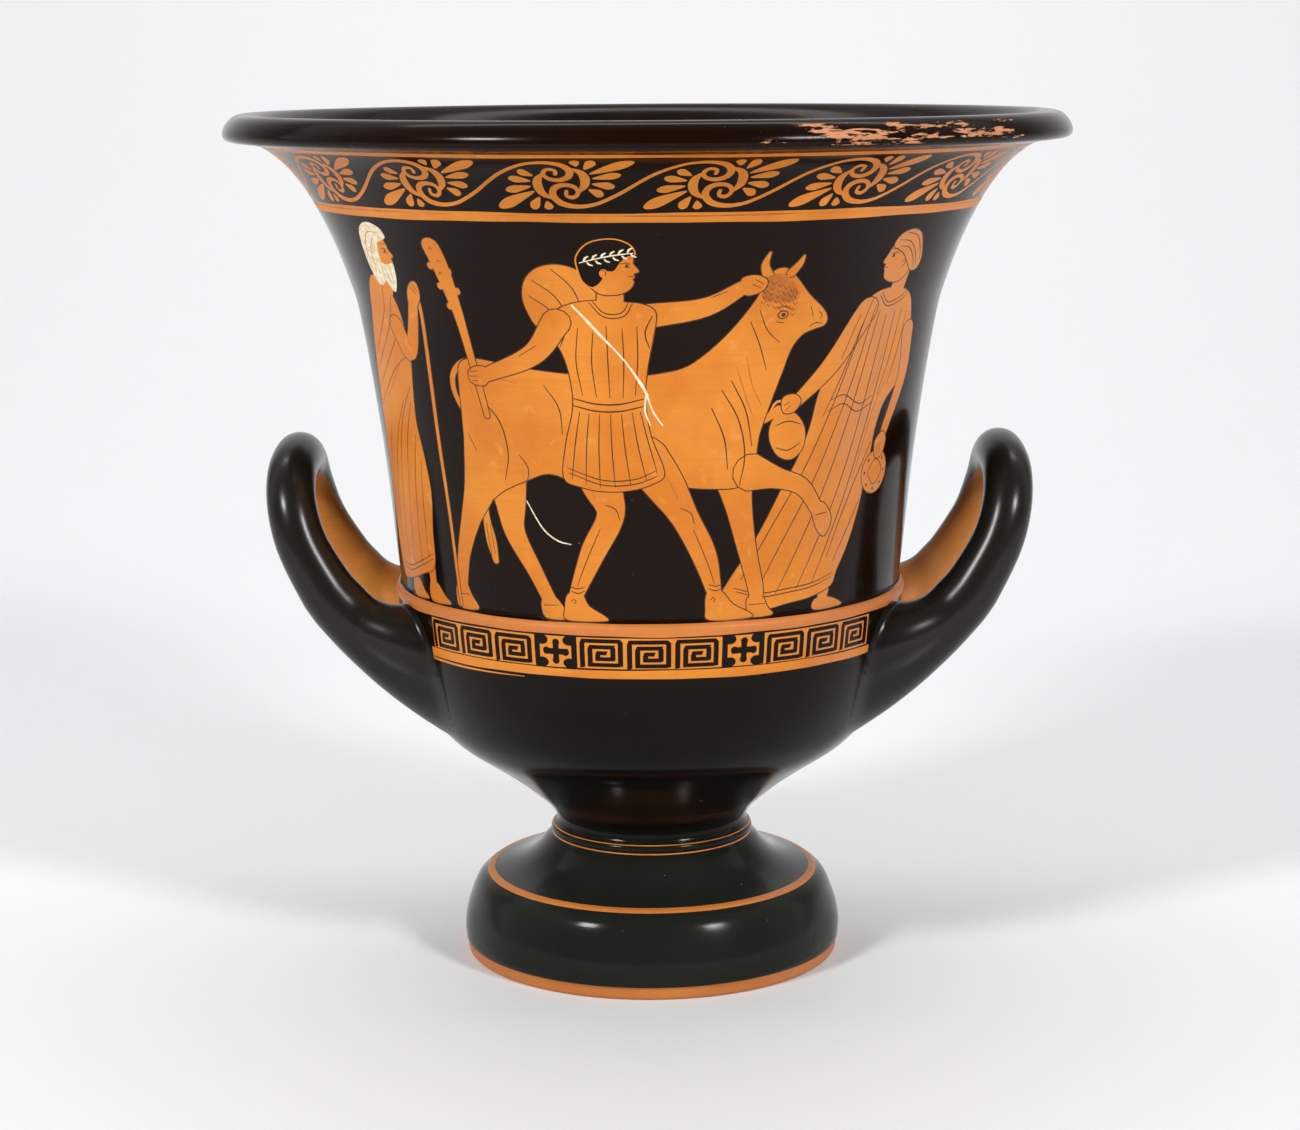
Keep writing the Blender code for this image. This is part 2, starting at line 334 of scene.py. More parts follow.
# %% Palmettes
PALMETTES = 16
PALMETTE_RADIUS = 166.0
PALMETTE_SHIFT = math.radians(-1.2)
BAND_MIDDLE = (up_at(STRIPES["over_figures"][1]) + up_at(STRIPES["under_lip"][0])) / 2
STEM = [
    (-32.6, 0.0), (-26.0, 5.0), (-19.0, 9.2), (-12.5, 12.0), (-5.0, 12.9), (1.6, 11.2), (4.6, 7.2),
    (3.4, 3.2), (-0.8, 1.4), (-5.2, 2.4), (-6.6, 5.6), (-4.2, 8.2), (-1.2, 7.3), (-1.6, 4.9),
]
STEM_WIDTHS = [1.6, 1.7, 1.7, 1.8, 2.2, 3.0, 3.3, 2.8, 2.3, 2.1, 2.0, 1.9, 1.9, 1.7]
HEART = [(5.8, 8.4), (8.9, 6.2), (10.3, 2.6), (9.8, -1.4), (7.6, -4.6)]
PETALS = [
    ((7.9, 10.3), (7.3, 14.5), 4.3),
    ((10.9, 8.2), (15.2, 14.2), 4.4),
    ((13.2, 5.3), (31.0, 13.6), 5.3),
    ((13.8, 2.3), (25.4, 4.6), 4.0),
    ((13.2, -0.9), (22.4, -2.4), 4.0),
    ((11.4, -4.0), (17.2, -7.2), 4.2),
]


def palmette_place(points, number, flipped):
    """A unit's flat millimetres to the label: its width is stretched, because the label is wider there."""
    flat = np.asarray(points, float) * (-1.0 if flipped else 1.0)
    angle = PALMETTE_SHIFT + (number - 0.5) * math.tau / PALMETTES + flat[..., 0] / PALMETTE_RADIUS
    return np.stack([angle * LABEL_RADIUS, BAND_MIDDLE + flat[..., 1]], axis=-1)


def petal(base, tip, width):
    """A petal that is thin at its base, widest at two thirds and blunt at its tip."""
    base, tip = np.array(base), np.array(tip)
    along = tip - base
    side = np.array([-along[1], along[0]]) / np.linalg.norm(along)
    shares = [(0.0, 0.10), (0.35, 0.36), (0.68, 0.50), (0.92, 0.30), (1.0, 0.0)]
    left = [base + along * s + side * w * width for s, w in shares]
    right = [base + along * s - side * w * width for s, w in shares[-2::-1]]
    return smooth([*left, *right], 3, closed=True)


HEART_WIDTHS = [1.4, 3.2, 4.2, 3.6, 1.6]
palmette = [*limb(STEM, STEM_WIDTHS, 1.4)(0), *limb(HEART, HEART_WIDTHS, 1.6)(0)]
palmette += [petal(base, tip, width) for base, tip, width in PETALS]
first_unit = int(math.floor(LABEL_LEFT / LABEL_RADIUS / (math.tau / PALMETTES))) - 1
for number in range(first_unit, first_unit + PALMETTES + 4):
    for flipped in (False, True):
        painting.extend((palmette_place(piece, number, flipped), CLAY) for piece in palmette)
print("shapes with the palmettes:", len(painting))

# %% [markdown]
# ## Figures
#
# The frieze tells a plain country story: a herdsman leads a bull, an elder leans on a staff, and a woman
# comes with a jug and a dish. Each figure is built as a sculptor would start, from limbs and blobs, and
# `body` draws one dark contour round each group, which shows only where it crosses clay. Heights are in
# millimetres above the table, so a figure stands on the ground line at 187.


# %% Figures: the tools
def lift(points):
    """Points given across and by height become points on the label."""
    p = np.array(points, float)
    p[:, 1] = up_at(p[:, 1])
    return p


class Stage:
    """Draws in (across, height), moved sideways and, for the reverse, mirrored."""

    def __init__(self, centre=0.0, flip=1.0):
        self.centre = centre
        self.flip = flip

    def at(self, points):
        return lift([(self.centre + self.flip * x, z) for x, z in points])

    def blob(self, *points):
        return blob(*self.at(points))

    def limb(self, points, widths, step=1.8):
        return limb(self.at(points), widths, step)

    def oval(self, x, z, radius_x, radius_z=None):
        (spot,) = self.at([(x, z)])
        return ring_of(spot[0], spot[1], radius_x, radius_z)

    def line(self, *points, width=0.55, finish=LINE):
        line(*self.at(points), width=width, finish=finish)

    def folds(self, *lines, width=0.5, finish=LINE):
        for points in lines:
            self.line(*points, width=width, finish=finish)


front = Stage()


# %% Figures: the woman with the jug
def draw_woman(s):
    """A woman in a pleated robe and a cap, with a jug in one hand and a dish in the other."""
    robe = [
        (98, 330.5), (107, 333.2), (117, 332.4), (125.5, 328), (131, 318), (133.6, 303), (130.5, 291),
        (124.5, 285.5), (118, 279), (114, 268), (112.5, 256), (110, 243), (107.5, 231), (102, 216),
        (95.5, 204), (92.5, 197.5), (80, 193.5), (66, 191.8), (52, 189.8), (41, 192.5), (32, 196),
        (37, 206), (46, 219), (54, 233), (61, 247), (68, 260), (72.5, 273), (75, 286), (79, 297),
        (84.5, 309), (90, 322),
    ]
    body(
        s.limb([(88, 196), (87.5, 191)], [7, 5.5]),
        s.blob((83, 192), (92, 192), (100.5, 188.6), (99.8, 187), (83, 187)),
    )
    body(s.limb([(113.5, 341), (112.5, 330)], [8.6, 9.4]), s.blob(*robe))
    body(s.limb([(130.5, 312), (132.0, 291), (121, 264)], [9.5, 8.0, 5.0]))
    # The dish, a flat ring with a lozenge and eight dots.
    body(s.oval(118, 247.6, 10.2))
    s.folds([(112, 247.6), (118, 253.6), (124, 247.6), (118, 241.6), (112, 247.6)])
    for turn in range(8):
        paint(LINE, s.oval(118 + 8 * math.cos(turn * 0.785), 247.6 + 8 * math.sin(turn * 0.785), 0.7))
    body(s.blob((115.5, 262), (121, 266), (124.5, 262), (122.5, 255), (117, 254.5)))
    s.folds([(117.6, 261), (118.2, 256)], [(120, 261.5), (120.3, 256)])
    body(s.limb([(97, 324), (81, 301), (63.5, 284)], [12, 9.2, 5.2]))
    # The jug: spout, belly, handle and two bands.
    body(
        s.limb([(56, 281.5), (49.5, 277.5)], [4.6, 3.0]),
        s.blob(
            (53, 276), (52.6, 268.5), (57, 261), (64, 258.8), (69.5, 263.5), (69.8, 272), (65, 279),
            (58, 281),
        ),
    )
    s.line((52, 281), (55, 285.5), (61, 284), (63.5, 277.5), width=1.3, finish=CLAY)
    s.line((55.0, 274.5), (61, 276.3), (67.5, 274.5))
    s.line((56, 264.5), (62, 263), (68, 266))
    body(s.blob((57.2, 283.5), (58.2, 287.5), (63.5, 288.2), (66.5, 285), (63.8, 280.6), (59, 280)))
    s.folds([(59.0, 281.2), (61.8, 283.2)], [(58.4, 283.4), (61.2, 285.1)])
    face = [
        (101.4, 352.2), (100.0, 349.0), (98.4, 345.4), (100.2, 344.4), (99.9, 342.7), (100.6, 341.4),
        (101.6, 338.3), (105.5, 336.2), (112, 336.2), (117, 341), (118.5, 349), (112, 356), (105, 357),
    ]
    cap = [
        (101.6, 352.6), (103.6, 357.4), (109.5, 359.6), (116, 357.6), (120.4, 352), (123.6, 345.5),
        (122.4, 341.2), (117.8, 340.6), (113.5, 344.8), (109.5, 348.6), (105.5, 350.6),
    ]
    body(s.blob(*face))
    body(s.blob(*cap))
    s.folds(
        [(104, 355), (111, 354), (117, 349), (121, 342.5)],
        [(106, 352.2), (112, 351), (117, 346), (119.6, 341.6)],
        [(107, 358.4), (114.5, 356.2), (120, 350), (122.6, 345)],
    )
    s.folds(
        [(101.8, 348.6), (104.2, 349.6), (106, 349)],
        [(102, 347.6), (104.6, 347.4)],
        [(101.2, 351), (105.6, 351.3)],
    )
    s.folds(
        [(100.2, 342.8), (102.4, 342.9)],
        [(110, 344.6), (111.8, 346.4), (112.4, 343.8), (110.6, 342.4)],
    )
    paint(LINE, s.oval(103.3, 348.3, 0.7))
    s.folds(
        [(103.5, 331.5), (109, 326.5), (117, 328.5), (121, 331)],
        [(102.5, 330.2), (109, 324.8), (118, 326.8), (122.6, 330)],
    )
    # The pleats run down the whole robe, and the hem is a double line.
    s.folds(
        [(99, 329), (92, 305), (84, 282), (72, 255), (56, 228), (42, 205)],
        [(102, 326), (96, 300), (88, 275), (77, 248), (62, 221), (50, 199)],
        [(105, 323), (100, 298), (93, 271), (83, 243), (70, 216), (60, 197)],
        [(110, 321), (106, 296), (100, 268), (91, 240), (79, 214), (71, 198)],
        [(116, 322), (112.5, 297), (106, 270), (98, 243), (88, 218), (80, 200)],
        [(121, 323), (118, 303), (112, 284)], [(125.5, 321), (123.5, 304), (118.5, 288)],
        [(96, 319), (88, 297), (79, 277)], [(93.5, 322), (86, 303)],
        [(108, 284), (100, 281), (90, 286), (82, 284)], [(109, 281), (99, 277.5), (90, 282), (81.5, 279)],
        [(112, 262), (104, 247), (95, 228), (88, 211)], [(108, 236), (100, 222), (92, 208)],
        [(40, 199.5), (52, 196.2), (66, 197), (80, 198.2), (92, 201.5)],
        [(38.6, 201.2), (52, 198), (66, 198.8), (80, 200), (93, 203.4)],
    )
    s.folds(
        [(118, 292), (111, 279), (106, 262), (101, 246)], [(113, 310), (108, 288)], finish=WASH, width=0.6,
    )


# %% Figures: the bull
def draw_bull(s):
    """A bull that walks to the right and lifts a foreleg: far legs, tail, trunk, near legs, head."""
    far_hind = s.limb(
        [(-66, 262), (-64.5, 240), (-63, 226), (-54, 209), (-47.5, 196)],
        [24, 16, 10.5, 7.4, 6.6],
    )
    body(far_hind, s.blob((-51, 196), (-46, 198), (-41.5, 194), (-38.6, 187.6), (-49, 187.2), (-51.5, 191)))
    s.line((-50.5, 193.2), (-43, 193.6))
    fore = s.limb([(34, 266), (39, 243), (44, 221), (49.5, 201), (50, 196)], [24, 13.5, 9, 7.4, 6.4])
    body(fore, s.blob((46, 196.5), (53, 196.5), (56, 191.5), (59, 187.5), (47, 187.2), (45.6, 191)))
    s.line((46.5, 193), (55, 193))
    tail = s.limb(
        [(-74, 302), (-82, 302.4), (-88.5, 296.5), (-88.8, 288), (-84, 279)],
        [3.4, 3.0, 2.8, 2.6, 2.6],
    )
    body(tail)
    body(s.limb([(-77.5, 246), (-78.2, 232), (-76.4, 221), (-74.6, 212)], [2.4, 3.6, 5.4, 3.0]))
    s.folds([(-78.6, 229), (-76.8, 214)], [(-76.4, 229), (-74.8, 215)])
    trunk = [
        (-85.5, 296), (-83, 302.6), (-75, 304.4), (-62, 302.8), (-46, 300.5), (-28, 299), (-8, 298.5),
        (6, 300), (16, 303), (26, 311), (35, 321), (42, 332), (46.5, 343), (52, 345.4), (57.5, 341),
        (64.5, 333), (72, 326.6), (75.2, 322), (74, 318.6), (69.5, 317.4), (64, 315), (59.5, 309),
        (56, 298), (51.5, 284), (47.5, 270), (46, 256), (40, 248), (26, 247.5), (8, 249), (-12, 248.5),
        (-30, 250), (-44, 254), (-56, 250), (-67, 245), (-78, 238), (-84, 244), (-86.5, 262), (-86.2, 280),
    ]
    near_hind = s.limb(
        [(-74, 266), (-80.5, 246), (-87.5, 231), (-94, 214), (-97.4, 198)],
        [26, 18, 11.5, 8, 6.8],
    )
    body(
        s.blob(*trunk),
        near_hind,
        s.blob((-101, 198), (-94.6, 199), (-91.8, 194), (-88, 187.6), (-100.5, 187.2), (-102.4, 192)),
    )
    s.line((-101.6, 193.6), (-92.6, 194))
    body(
        s.limb([(45, 254), (58, 250.5), (71, 245.5), (80.5, 234)], [17, 9.4, 7.6, 6.4]),
        s.blob((77, 236), (84, 237), (89.4, 229), (86, 221.6), (81.6, 224), (78.6, 230)),
    )
    s.line((79.6, 231.6), (86.4, 232.4))
    body(s.limb([(54.8, 343), (57.6, 347), (58.8, 350.4)], [3.8, 2.8, 1.0]))
    body(s.limb([(45.6, 341.6), (43.6, 347), (44.8, 352.4)], [4.4, 3.0, 1.0]))
    body(s.blob((46.6, 340.6), (44, 336), (38.4, 333.6), (35.6, 336.6), (39.8, 341)))
    s.line((44.4, 338.6), (40, 336.6), (37.6, 336.8))
    paint(
        WASH,
        s.blob((44.6, 341.0), (52.0, 342.6), (58.6, 336.0), (58.0, 330.6), (51.0, 330.0), (44.8, 331.6)),
    )
    # Curls between the horns, then the eye, the muzzle and the muscles.
    for row in range(5):
        for column in range(6):
            x = 44.6 + column * 2.7 - row * 0.2
            z = 340.6 - row * 2.4 - column * 1.15
            s.line((x, z), (x + 1.2, z - 1.5), (x + 2.1, z - 0.3), width=0.4)
    paint(LINE, s.oval(54.2, 324.4, 2.5, 2.1))
    paint(CLAY, s.oval(54.2, 324.4, 1.9, 1.5))
    paint(LINE, s.oval(54.4, 324.4, 1.0, 1.0))
    s.folds([(51, 327.4), (54.6, 328.2), (58, 326.4)], [(51.6, 321.4), (55, 320.8)], width=0.6)
    s.folds([(70.6, 325.0), (72.6, 323.6), (71.6, 321.8)], [(66.8, 318.4), (69.6, 320), (73.4, 319.6)])
    s.folds(
        [(66.4, 327.6), (68.2, 323)],
        [(44, 327), (48, 318), (54, 312)],
        [(40.6, 322), (45, 312), (49, 300)],
    )
    s.folds(
        [(30, 292), (38, 278), (41.5, 262), (39.6, 248)],
        [(34, 296), (41, 282), (44.6, 266)],
        width=0.6,
    )
    s.folds(
        [(26, 284), (32, 270), (34, 256)],
        [(-74, 286), (-66, 276), (-63.4, 262), (-66, 250)],
        width=0.6,
    )
    s.folds(
        [(-44, 294), (-38, 284), (-37, 272)],
        [(-84, 270), (-80, 262)],
        [(-58, 262), (-54, 256), (-55, 249)],
    )
    s.folds([(40, 306), (43, 294), (48, 284)], [(36, 302), (40, 290), (44, 280)], finish=WASH)
    s.folds(
        [(-70, 297), (-56, 294.5)], [(-30, 262), (-10, 258), (10, 259)], [(-80, 292), (-76, 280)],
        finish=WASH,
    )


# %% Figures: the herdsman
def draw_herdsman(s):
    """A young herdsman who strides to the right with a knotty stick, and reaches for the bull's horn."""
    stick = s.limb([(-85.4, 354.5), (-83.4, 344), (-79.6, 318), (-72.4, 279)], [8.4, 7.8, 4.2, 2.8])
    knots = [(-88.6, 345.6), (-80.2, 343.4), (-86.4, 336.6), (-78.4, 334.6), (-84.0, 327.6)]
    body(stick, *[s.oval(x, z, 1.5, 1.7) for x, z in knots])
    for x, z in ((-86, 353), (-83.6, 347.5), (-84.6, 342)):
        s.line((x - 0.8, z), (x, z + 0.9), (x + 0.9, z))
    body(
        s.limb([(37, 338), (22, 329), (0, 325.5)], [6.2, 8.6, 11]),
        s.blob((35, 341), (40.5, 342.6), (45.4, 340), (43.8, 335.4), (37, 334)),
    )
    s.folds([(40.4, 340.8), (44, 338.6)], [(39.6, 338.6), (43.2, 336.8)], [(24, 333.2), (30, 335.8)])
    cloak = [
        (-49, 331), (-47.5, 340), (-42, 346), (-34, 348), (-26, 345.5), (-20, 338), (-20, 327),
        (-27, 319.5), (-37, 317.8), (-45, 320.6),
    ]
    body(s.blob(*cloak))
    s.folds(
        [(-44.5, 341), (-36, 334), (-30, 322)], [(-46.6, 334), (-39, 328), (-35, 319)],
        [(-36, 346), (-29, 338), (-25.4, 328)],
        width=0.5,
    )
    near_leg = s.limb(
        [(-24, 262), (-21, 250), (-17.2, 236), (-25.5, 219), (-34.4, 198.5)],
        [21, 17.5, 12, 11, 6.4],
    )
    near_foot = s.blob(
        (-38.2, 199), (-31.6, 199.4), (-28.4, 193.8), (-20.6, 189), (-21.2, 187), (-39, 187), (-40, 192),
    )
    far_leg = s.limb([(-2, 262), (7, 249), (15.6, 234.5), (24.5, 217), (29.8, 199)], [20, 17, 12, 11, 6.4])
    far_foot = s.blob(
        (26.4, 200), (33, 200), (38.8, 193.8), (47.6, 189), (47, 187), (27.8, 187), (25.6, 192),
    )
    body(far_leg, far_foot)
    body(near_leg, near_foot)
    for x, z in ((-35.6, 195.6), (29.0, 196.4)):
        s.folds([(x - 1.2, z), (x, z + 1.2), (x + 1.2, z), (x, z - 1.1)])
    s.folds([(-19.5, 240.6), (-14.8, 238.6), (-13.2, 233.6)], [(13.4, 239), (18.2, 236.6), (19.8, 231.6)])
    s.folds(
        [(-22, 229.6), (-29, 214), (-33.6, 202.6)],
        [(19.4, 229), (25.6, 214.6), (29.6, 203.6)],
        width=0.45,
    )
    s.folds([(-28.6, 256), (-23.4, 242)], [(6, 256), (12.4, 243.6)], finish=WASH, width=0.6)
    for x, z in ((-33.2, 200.6), (30.4, 201.6)):
        s.folds(
            [(x - 3.4, z), (x, z - 1.1), (x + 3.4, z + 0.3)],
            [(x - 3.6, z + 2), (x, z + 1), (x + 3.2, z + 2.2)],
        )
    # The tunic covers both thighs. It has a double belt, pleats and a double hem.
    tunic = [
        (-37, 326.6), (-30, 330.6), (-20.5, 332.2), (-9.5, 331.6), (-1.5, 330.4), (2.8, 326.4), (1.6, 315),
        (-0.6, 302), (-1.6, 288), (0.6, 272), (6.4, 255.4), (2, 250.6), (-8, 247.4), (-20, 246.8),
        (-30, 248.6), (-37.5, 252.6), (-35.6, 268), (-31.6, 285), (-32.6, 300), (-36, 311), (-41, 318),
    ]
    body(s.limb([(-14.2, 341), (-14.6, 330)], [9.4, 10.4]), s.blob(*tunic))
    s.folds(
        [(-21.4, 332), (-17, 326.6), (-10.4, 326.8), (-7.6, 331.4)],
        [(-23, 331.6), (-17.4, 325), (-9.6, 325.2), (-6, 331)],
    )
    s.folds(
        [(-31.8, 288.6), (-22, 286.2), (-12, 286.2), (-2, 288.6)],
        [(-31.8, 285.4), (-22, 283), (-12, 283), (-1.8, 285.4)],
        width=0.7,
    )
    s.folds(
        [(-29, 282.6), (-31.6, 268), (-33.8, 252)], [(-25, 282), (-26.6, 268), (-27.6, 249.6)],
        [(-20.6, 281.6), (-21.4, 266), (-21.4, 248.4)], [(-16, 281.6), (-15.8, 266), (-14.8, 248.6)],
        [(-11.4, 281.8), (-10.2, 266), (-8, 249.6)], [(-7, 282.4), (-4.6, 267), (-1.2, 251.6)],
        [(-3.6, 283), (-0.6, 270), (3.4, 255)], [(-28, 320), (-29.4, 305), (-27.4, 290)],
        [(-22, 318), (-23, 304), (-21.6, 289)], [(-16.6, 321), (-16.4, 305), (-16, 289)],
        [(-10.4, 320), (-10, 305), (-10.6, 289)], [(-4.6, 321), (-4.4, 306), (-5.6, 290)],
        [(-35, 254.8), (-20, 249.6), (-6, 250.2), (3.8, 254)],
        [(-35.6, 257), (-20, 251.8), (-6, 252.4), (3, 256.4)],
    )
    s.folds([(-37, 326), (-33.6, 318), (-35.6, 311.6)], [(1.6, 325.6), (-1.4, 318), (0.4, 311)], width=0.6)
    body(
        s.limb([(-36.4, 322.6), (-48, 307.4), (-71.5, 297)], [11.6, 9.2, 6.0]),
        s.blob((-70.4, 300.4), (-75.4, 301), (-79.6, 298.4), (-79, 294), (-74.6, 292.4), (-70.4, 293.8)),
    )
    s.folds(
        [(-78.6, 298.6), (-74.8, 298.9)], [(-79, 296.3), (-75, 296.6)], [(-78, 294.2), (-74.6, 294.6)],
        [(-46, 311.6), (-54, 306.6)],
    )
    # A white cord hangs across the chest and ends in two strings.
    cord = s.limb(
        [(-29.6, 330), (-20, 318), (-10, 306), (-3.4, 295.6), (-0.6, 290)],
        [0.8, 1.2, 0.6, 1.3, 1.0],
    )
    paint(WHITE, cord)
    s.line((-1.0, 291), (1.6, 283), (5.8, 276.4), width=0.8, finish=WHITE)
    s.line((-1.2, 290.6), (-1.6, 283), (0.6, 276.6), width=0.8, finish=WHITE)
    head = [
        (-22.5, 341), (-24.4, 349), (-19, 355.6), (-11, 356.6), (-6.4, 353.8), (-5.4, 350.2), (-5.5, 348.6),
        (-3.4, 345.2), (-5.3, 344.2), (-5.0, 342.7), (-5.7, 341.6), (-5.4, 340), (-7.2, 337), (-11.4, 335),
        (-17.4, 335), (-21, 337.6),
    ]
    hair = [
        (-25.4, 344.6), (-25.8, 351.4), (-21, 357.4), (-13, 359.2), (-7, 357), (-4.9, 352.8), (-7.6, 351.6),
        (-10.2, 349), (-12.6, 345.4), (-15.6, 345), (-17.4, 341), (-20.8, 338.2), (-24, 340.4),
    ]
    body(s.blob(*head))
    paint(CLAY, s.blob(*hair), by=0.6)
    paint(SLIP, s.blob(*hair))
    paint(CLAY, s.oval(-16.4, 344.2, 1.6, 2.1))
    s.folds([(-17.2, 345.6), (-15.6, 345.2), (-15.8, 343.2)], width=0.45)
    s.folds(
        [(-6.4, 348.2), (-8.4, 349), (-10, 348.4)], [(-6.6, 346.9), (-9, 346.8)],
        [(-6.2, 350.8), (-9.8, 350.9)], [(-5.4, 342.8), (-7.6, 342.9)],
    )
    paint(LINE, s.oval(-7.7, 347.7, 0.65))
    s.line((-25.2, 348.8), (-18, 350.9), (-11, 352.4), (-5.2, 353.2), width=0.6, finish=WHITE)
    for step in range(6):
        x, z = -23.4 + step * 3.2, 349.6 + step * 0.75
        s.line((x, z), (x + 0.8, z + 1.6), (x + 1.9, z + 2.2), width=0.9, finish=WHITE)
        s.line((x + 1.2, z - 0.5), (x + 2.2, z - 1.7), (x + 3.3, z - 1.9), width=0.8, finish=WHITE)


# %% Figures: the elder
def draw_elder(s, white_hair=True, staff=True):
    """An elder wrapped in a long cloak, or on the reverse a young man in the same cloak."""
    hair = WHITE if white_hair else SLIP
    body(
        s.limb([(-121.4, 205), (-121, 196)], [6.6, 5.4]),
        s.blob((-124, 196), (-117.6, 196), (-111.6, 190.4), (-108.4, 188.4), (-109, 187), (-124.6, 187)),
    )
    body(
        s.limb([(-140.6, 205), (-140.4, 196)], [6.6, 5.4]),
        s.blob((-143.4, 196), (-137, 196), (-131.4, 190.4), (-128.2, 188.4), (-129, 187), (-144, 187)),
    )
    cloak = [
        (-127, 338.4), (-121, 333.6), (-117.2, 322), (-115.4, 304), (-117.6, 288), (-119.2, 272),
        (-116.4, 256), (-114.4, 239), (-116.6, 221), (-118.2, 204.0), (-130, 199), (-146, 194.6),
        (-160, 195.4), (-163.4, 220), (-161, 250), (-157.4, 280), (-150.4, 308), (-142, 327), (-134, 337.4),
    ]
    body(s.limb([(-119, 344), (-122, 334)], [8.4, 10]), s.blob(*cloak))
    s.folds(
        [(-124.6, 336), (-131, 322), (-142, 309), (-151, 300)],
        [(-120.6, 330), (-130, 314), (-143, 301), (-153.6, 292)],
        [(-118.4, 318), (-129, 306), (-143, 293), (-155.6, 284)],
        [(-117, 303), (-130, 296), (-144, 285), (-156.6, 276)],
        [(-120, 288), (-133, 270), (-142, 246), (-146, 222), (-147, 203)],
        [(-121.4, 281), (-130, 262), (-136, 238), (-138.4, 216), (-139, 202.6)],
        [(-121, 266), (-127, 246), (-130, 222), (-130.4, 203.4)],
        [(-128, 281), (-141, 262), (-151, 238), (-155, 212)],
        [(-119.8, 254), (-122.6, 232), (-122.8, 208)], [(-147, 270), (-156, 248), (-159.4, 224)],
        [(-119, 207.4), (-131, 202.6), (-146, 198.2), (-160, 199.2)],
        [(-119, 209.6), (-131, 204.8), (-146, 200.4), (-160, 201.4)],
    )
    s.folds([(-124, 300), (-134, 290), (-146, 280)], [(-133, 252), (-138, 226)], finish=WASH, width=0.6)
    if staff:
        body(
            s.limb(
                [(-101.4, 335), (-103.0, 300), (-103.4, 262), (-101.2, 222), (-99.8, 188.4)],
                [1.8, 2.0, 2.0, 1.8, 1.6],
            )
        )
    body(
        s.limb([(-122.6, 316), (-114.6, 304.6), (-106.0, 327)], [10, 8.4, 5.4]),
        s.blob((-108.6, 327), (-106.6, 334), (-102.4, 337.6), (-99.8, 336.6), (-100.2, 330.6), (-104, 326)),
    )
    s.folds([(-104.2, 335.2), (-101.8, 331.6)], [(-102.6, 336.2), (-100.8, 333.2)])
    face = [
        (-124.6, 345), (-123.6, 353.4), (-118, 358.8), (-112.6, 357.4), (-110.8, 353.6), (-110.8, 351.8),
        (-109, 348.6), (-110.8, 347.6), (-110.6, 345.8), (-111.6, 344.4), (-113.6, 341), (-118.4, 339),
    ]
    mane = [
        (-126.4, 334.6), (-130, 342), (-129.6, 352), (-125.6, 360.4), (-118, 363.8), (-111, 361.6),
        (-109.4, 357.4), (-112.8, 355.6), (-116.6, 354.4), (-118.4, 349.4), (-119.4, 343.4), (-120.4, 337),
    ]
    beard = [
        (-119.8, 345.4), (-116, 344.4), (-111.2, 345.4), (-111, 342.4), (-112.2, 337.6), (-115.4, 332),
        (-118.4, 334.4), (-120.6, 339.4),
    ]
    body(s.blob(*face))
    if not white_hair:
        paint(CLAY, s.blob(*mane), by=0.6)
    paint(hair, s.blob(*mane))
    if white_hair:
        paint(hair, s.blob(*beard))
        s.folds(
            [(-127.8, 344), (-126.4, 352), (-121, 358.8), (-114, 359)],
            [(-125.4, 341), (-123.8, 350), (-119, 356)],
            [(-117.6, 342.6), (-116.2, 336)], [(-114.6, 343), (-114.2, 337.4)], finish=WASH, width=0.45,
        )
    s.folds(
        [(-111.8, 351.4), (-114, 352.2), (-115.6, 351.4)],
        [(-112, 350), (-114.6, 349.9)],
        [(-111.6, 353.8), (-115, 354.2)],
    )
    paint(LINE, s.oval(-113.2, 350.8, 0.65))


draw_woman(front)
draw_bull(front)
draw_herdsman(front)
draw_elder(front)
reverse = PANEL_CENTRES[1]
draw_elder(Stage(reverse + 66), white_hair=False)
draw_elder(Stage(reverse - 66, -1.0), white_hair=False)
draw_elder(Stage(reverse + 140), white_hair=False, staff=False)
front.line((-56, 241), (-49, 229), (-42, 223.5), (-35.5, 222), width=0.7, finish=WHITE)
print("painted shapes:", len(painting))

# %% [markdown]
# ## Cutting the skin along the painting
#
# A constrained Delaunay triangulation takes all outlines as edges that it must keep and fills the sheet
# with triangles. A regular net of points is added, so that the flat sheet bends smoothly when it is wrapped
# round the pot. Then the shapes are laid on in their order, and each gives its finish to the triangles
# inside it. A point is inside a shape if a ray to its right crosses the shape's outline an odd number of
# times.

# %% Triangles
NET_STEP = 3.7
net_across = np.linspace(LABEL_LEFT, LABEL_RIGHT, COLUMNS + 1)
net_up = np.linspace(0, LABEL_TOP, int(LABEL_TOP / NET_STEP) + 1)
net = np.stack(np.meshgrid(net_across, net_up), axis=-1).reshape(-1, 2)
up_side = np.arange(len(net_up)) * (COLUMNS + 1)
left_edges = np.column_stack([up_side[:-1], up_side[1:]])
low_edges = np.column_stack([np.arange(COLUMNS), np.arange(COLUMNS) + 1])
border = np.vstack([left_edges, left_edges + COLUMNS, low_edges, low_edges + up_side[-1]])

sheet_points = [net]
sheet_edges = [border]
first = len(net)
for outline, _ in painting:
    number = first + np.arange(len(outline))
    sheet_points.append(outline)
    sheet_edges.append(np.column_stack([number, np.roll(number, -1)]))
    first += len(outline)
sheet_vectors = [Vector(point) for point in np.vstack(sheet_points)]
cut = delaunay_2d_cdt(sheet_vectors, np.vstack(sheet_edges).tolist(), [], 0, 1e-3, False)
flat = np.array([tuple(point) for point in cut[0]])
triangles = np.array(cut[2])
middle = flat[triangles].mean(axis=1)
on_label = (middle > (LABEL_LEFT, 0)).all(axis=1) & (middle < (LABEL_RIGHT, LABEL_TOP)).all(axis=1)
triangles, middle = triangles[on_label], middle[on_label]
in_order = np.argsort(middle[:, 0])
triangles, middle = triangles[in_order], middle[in_order]

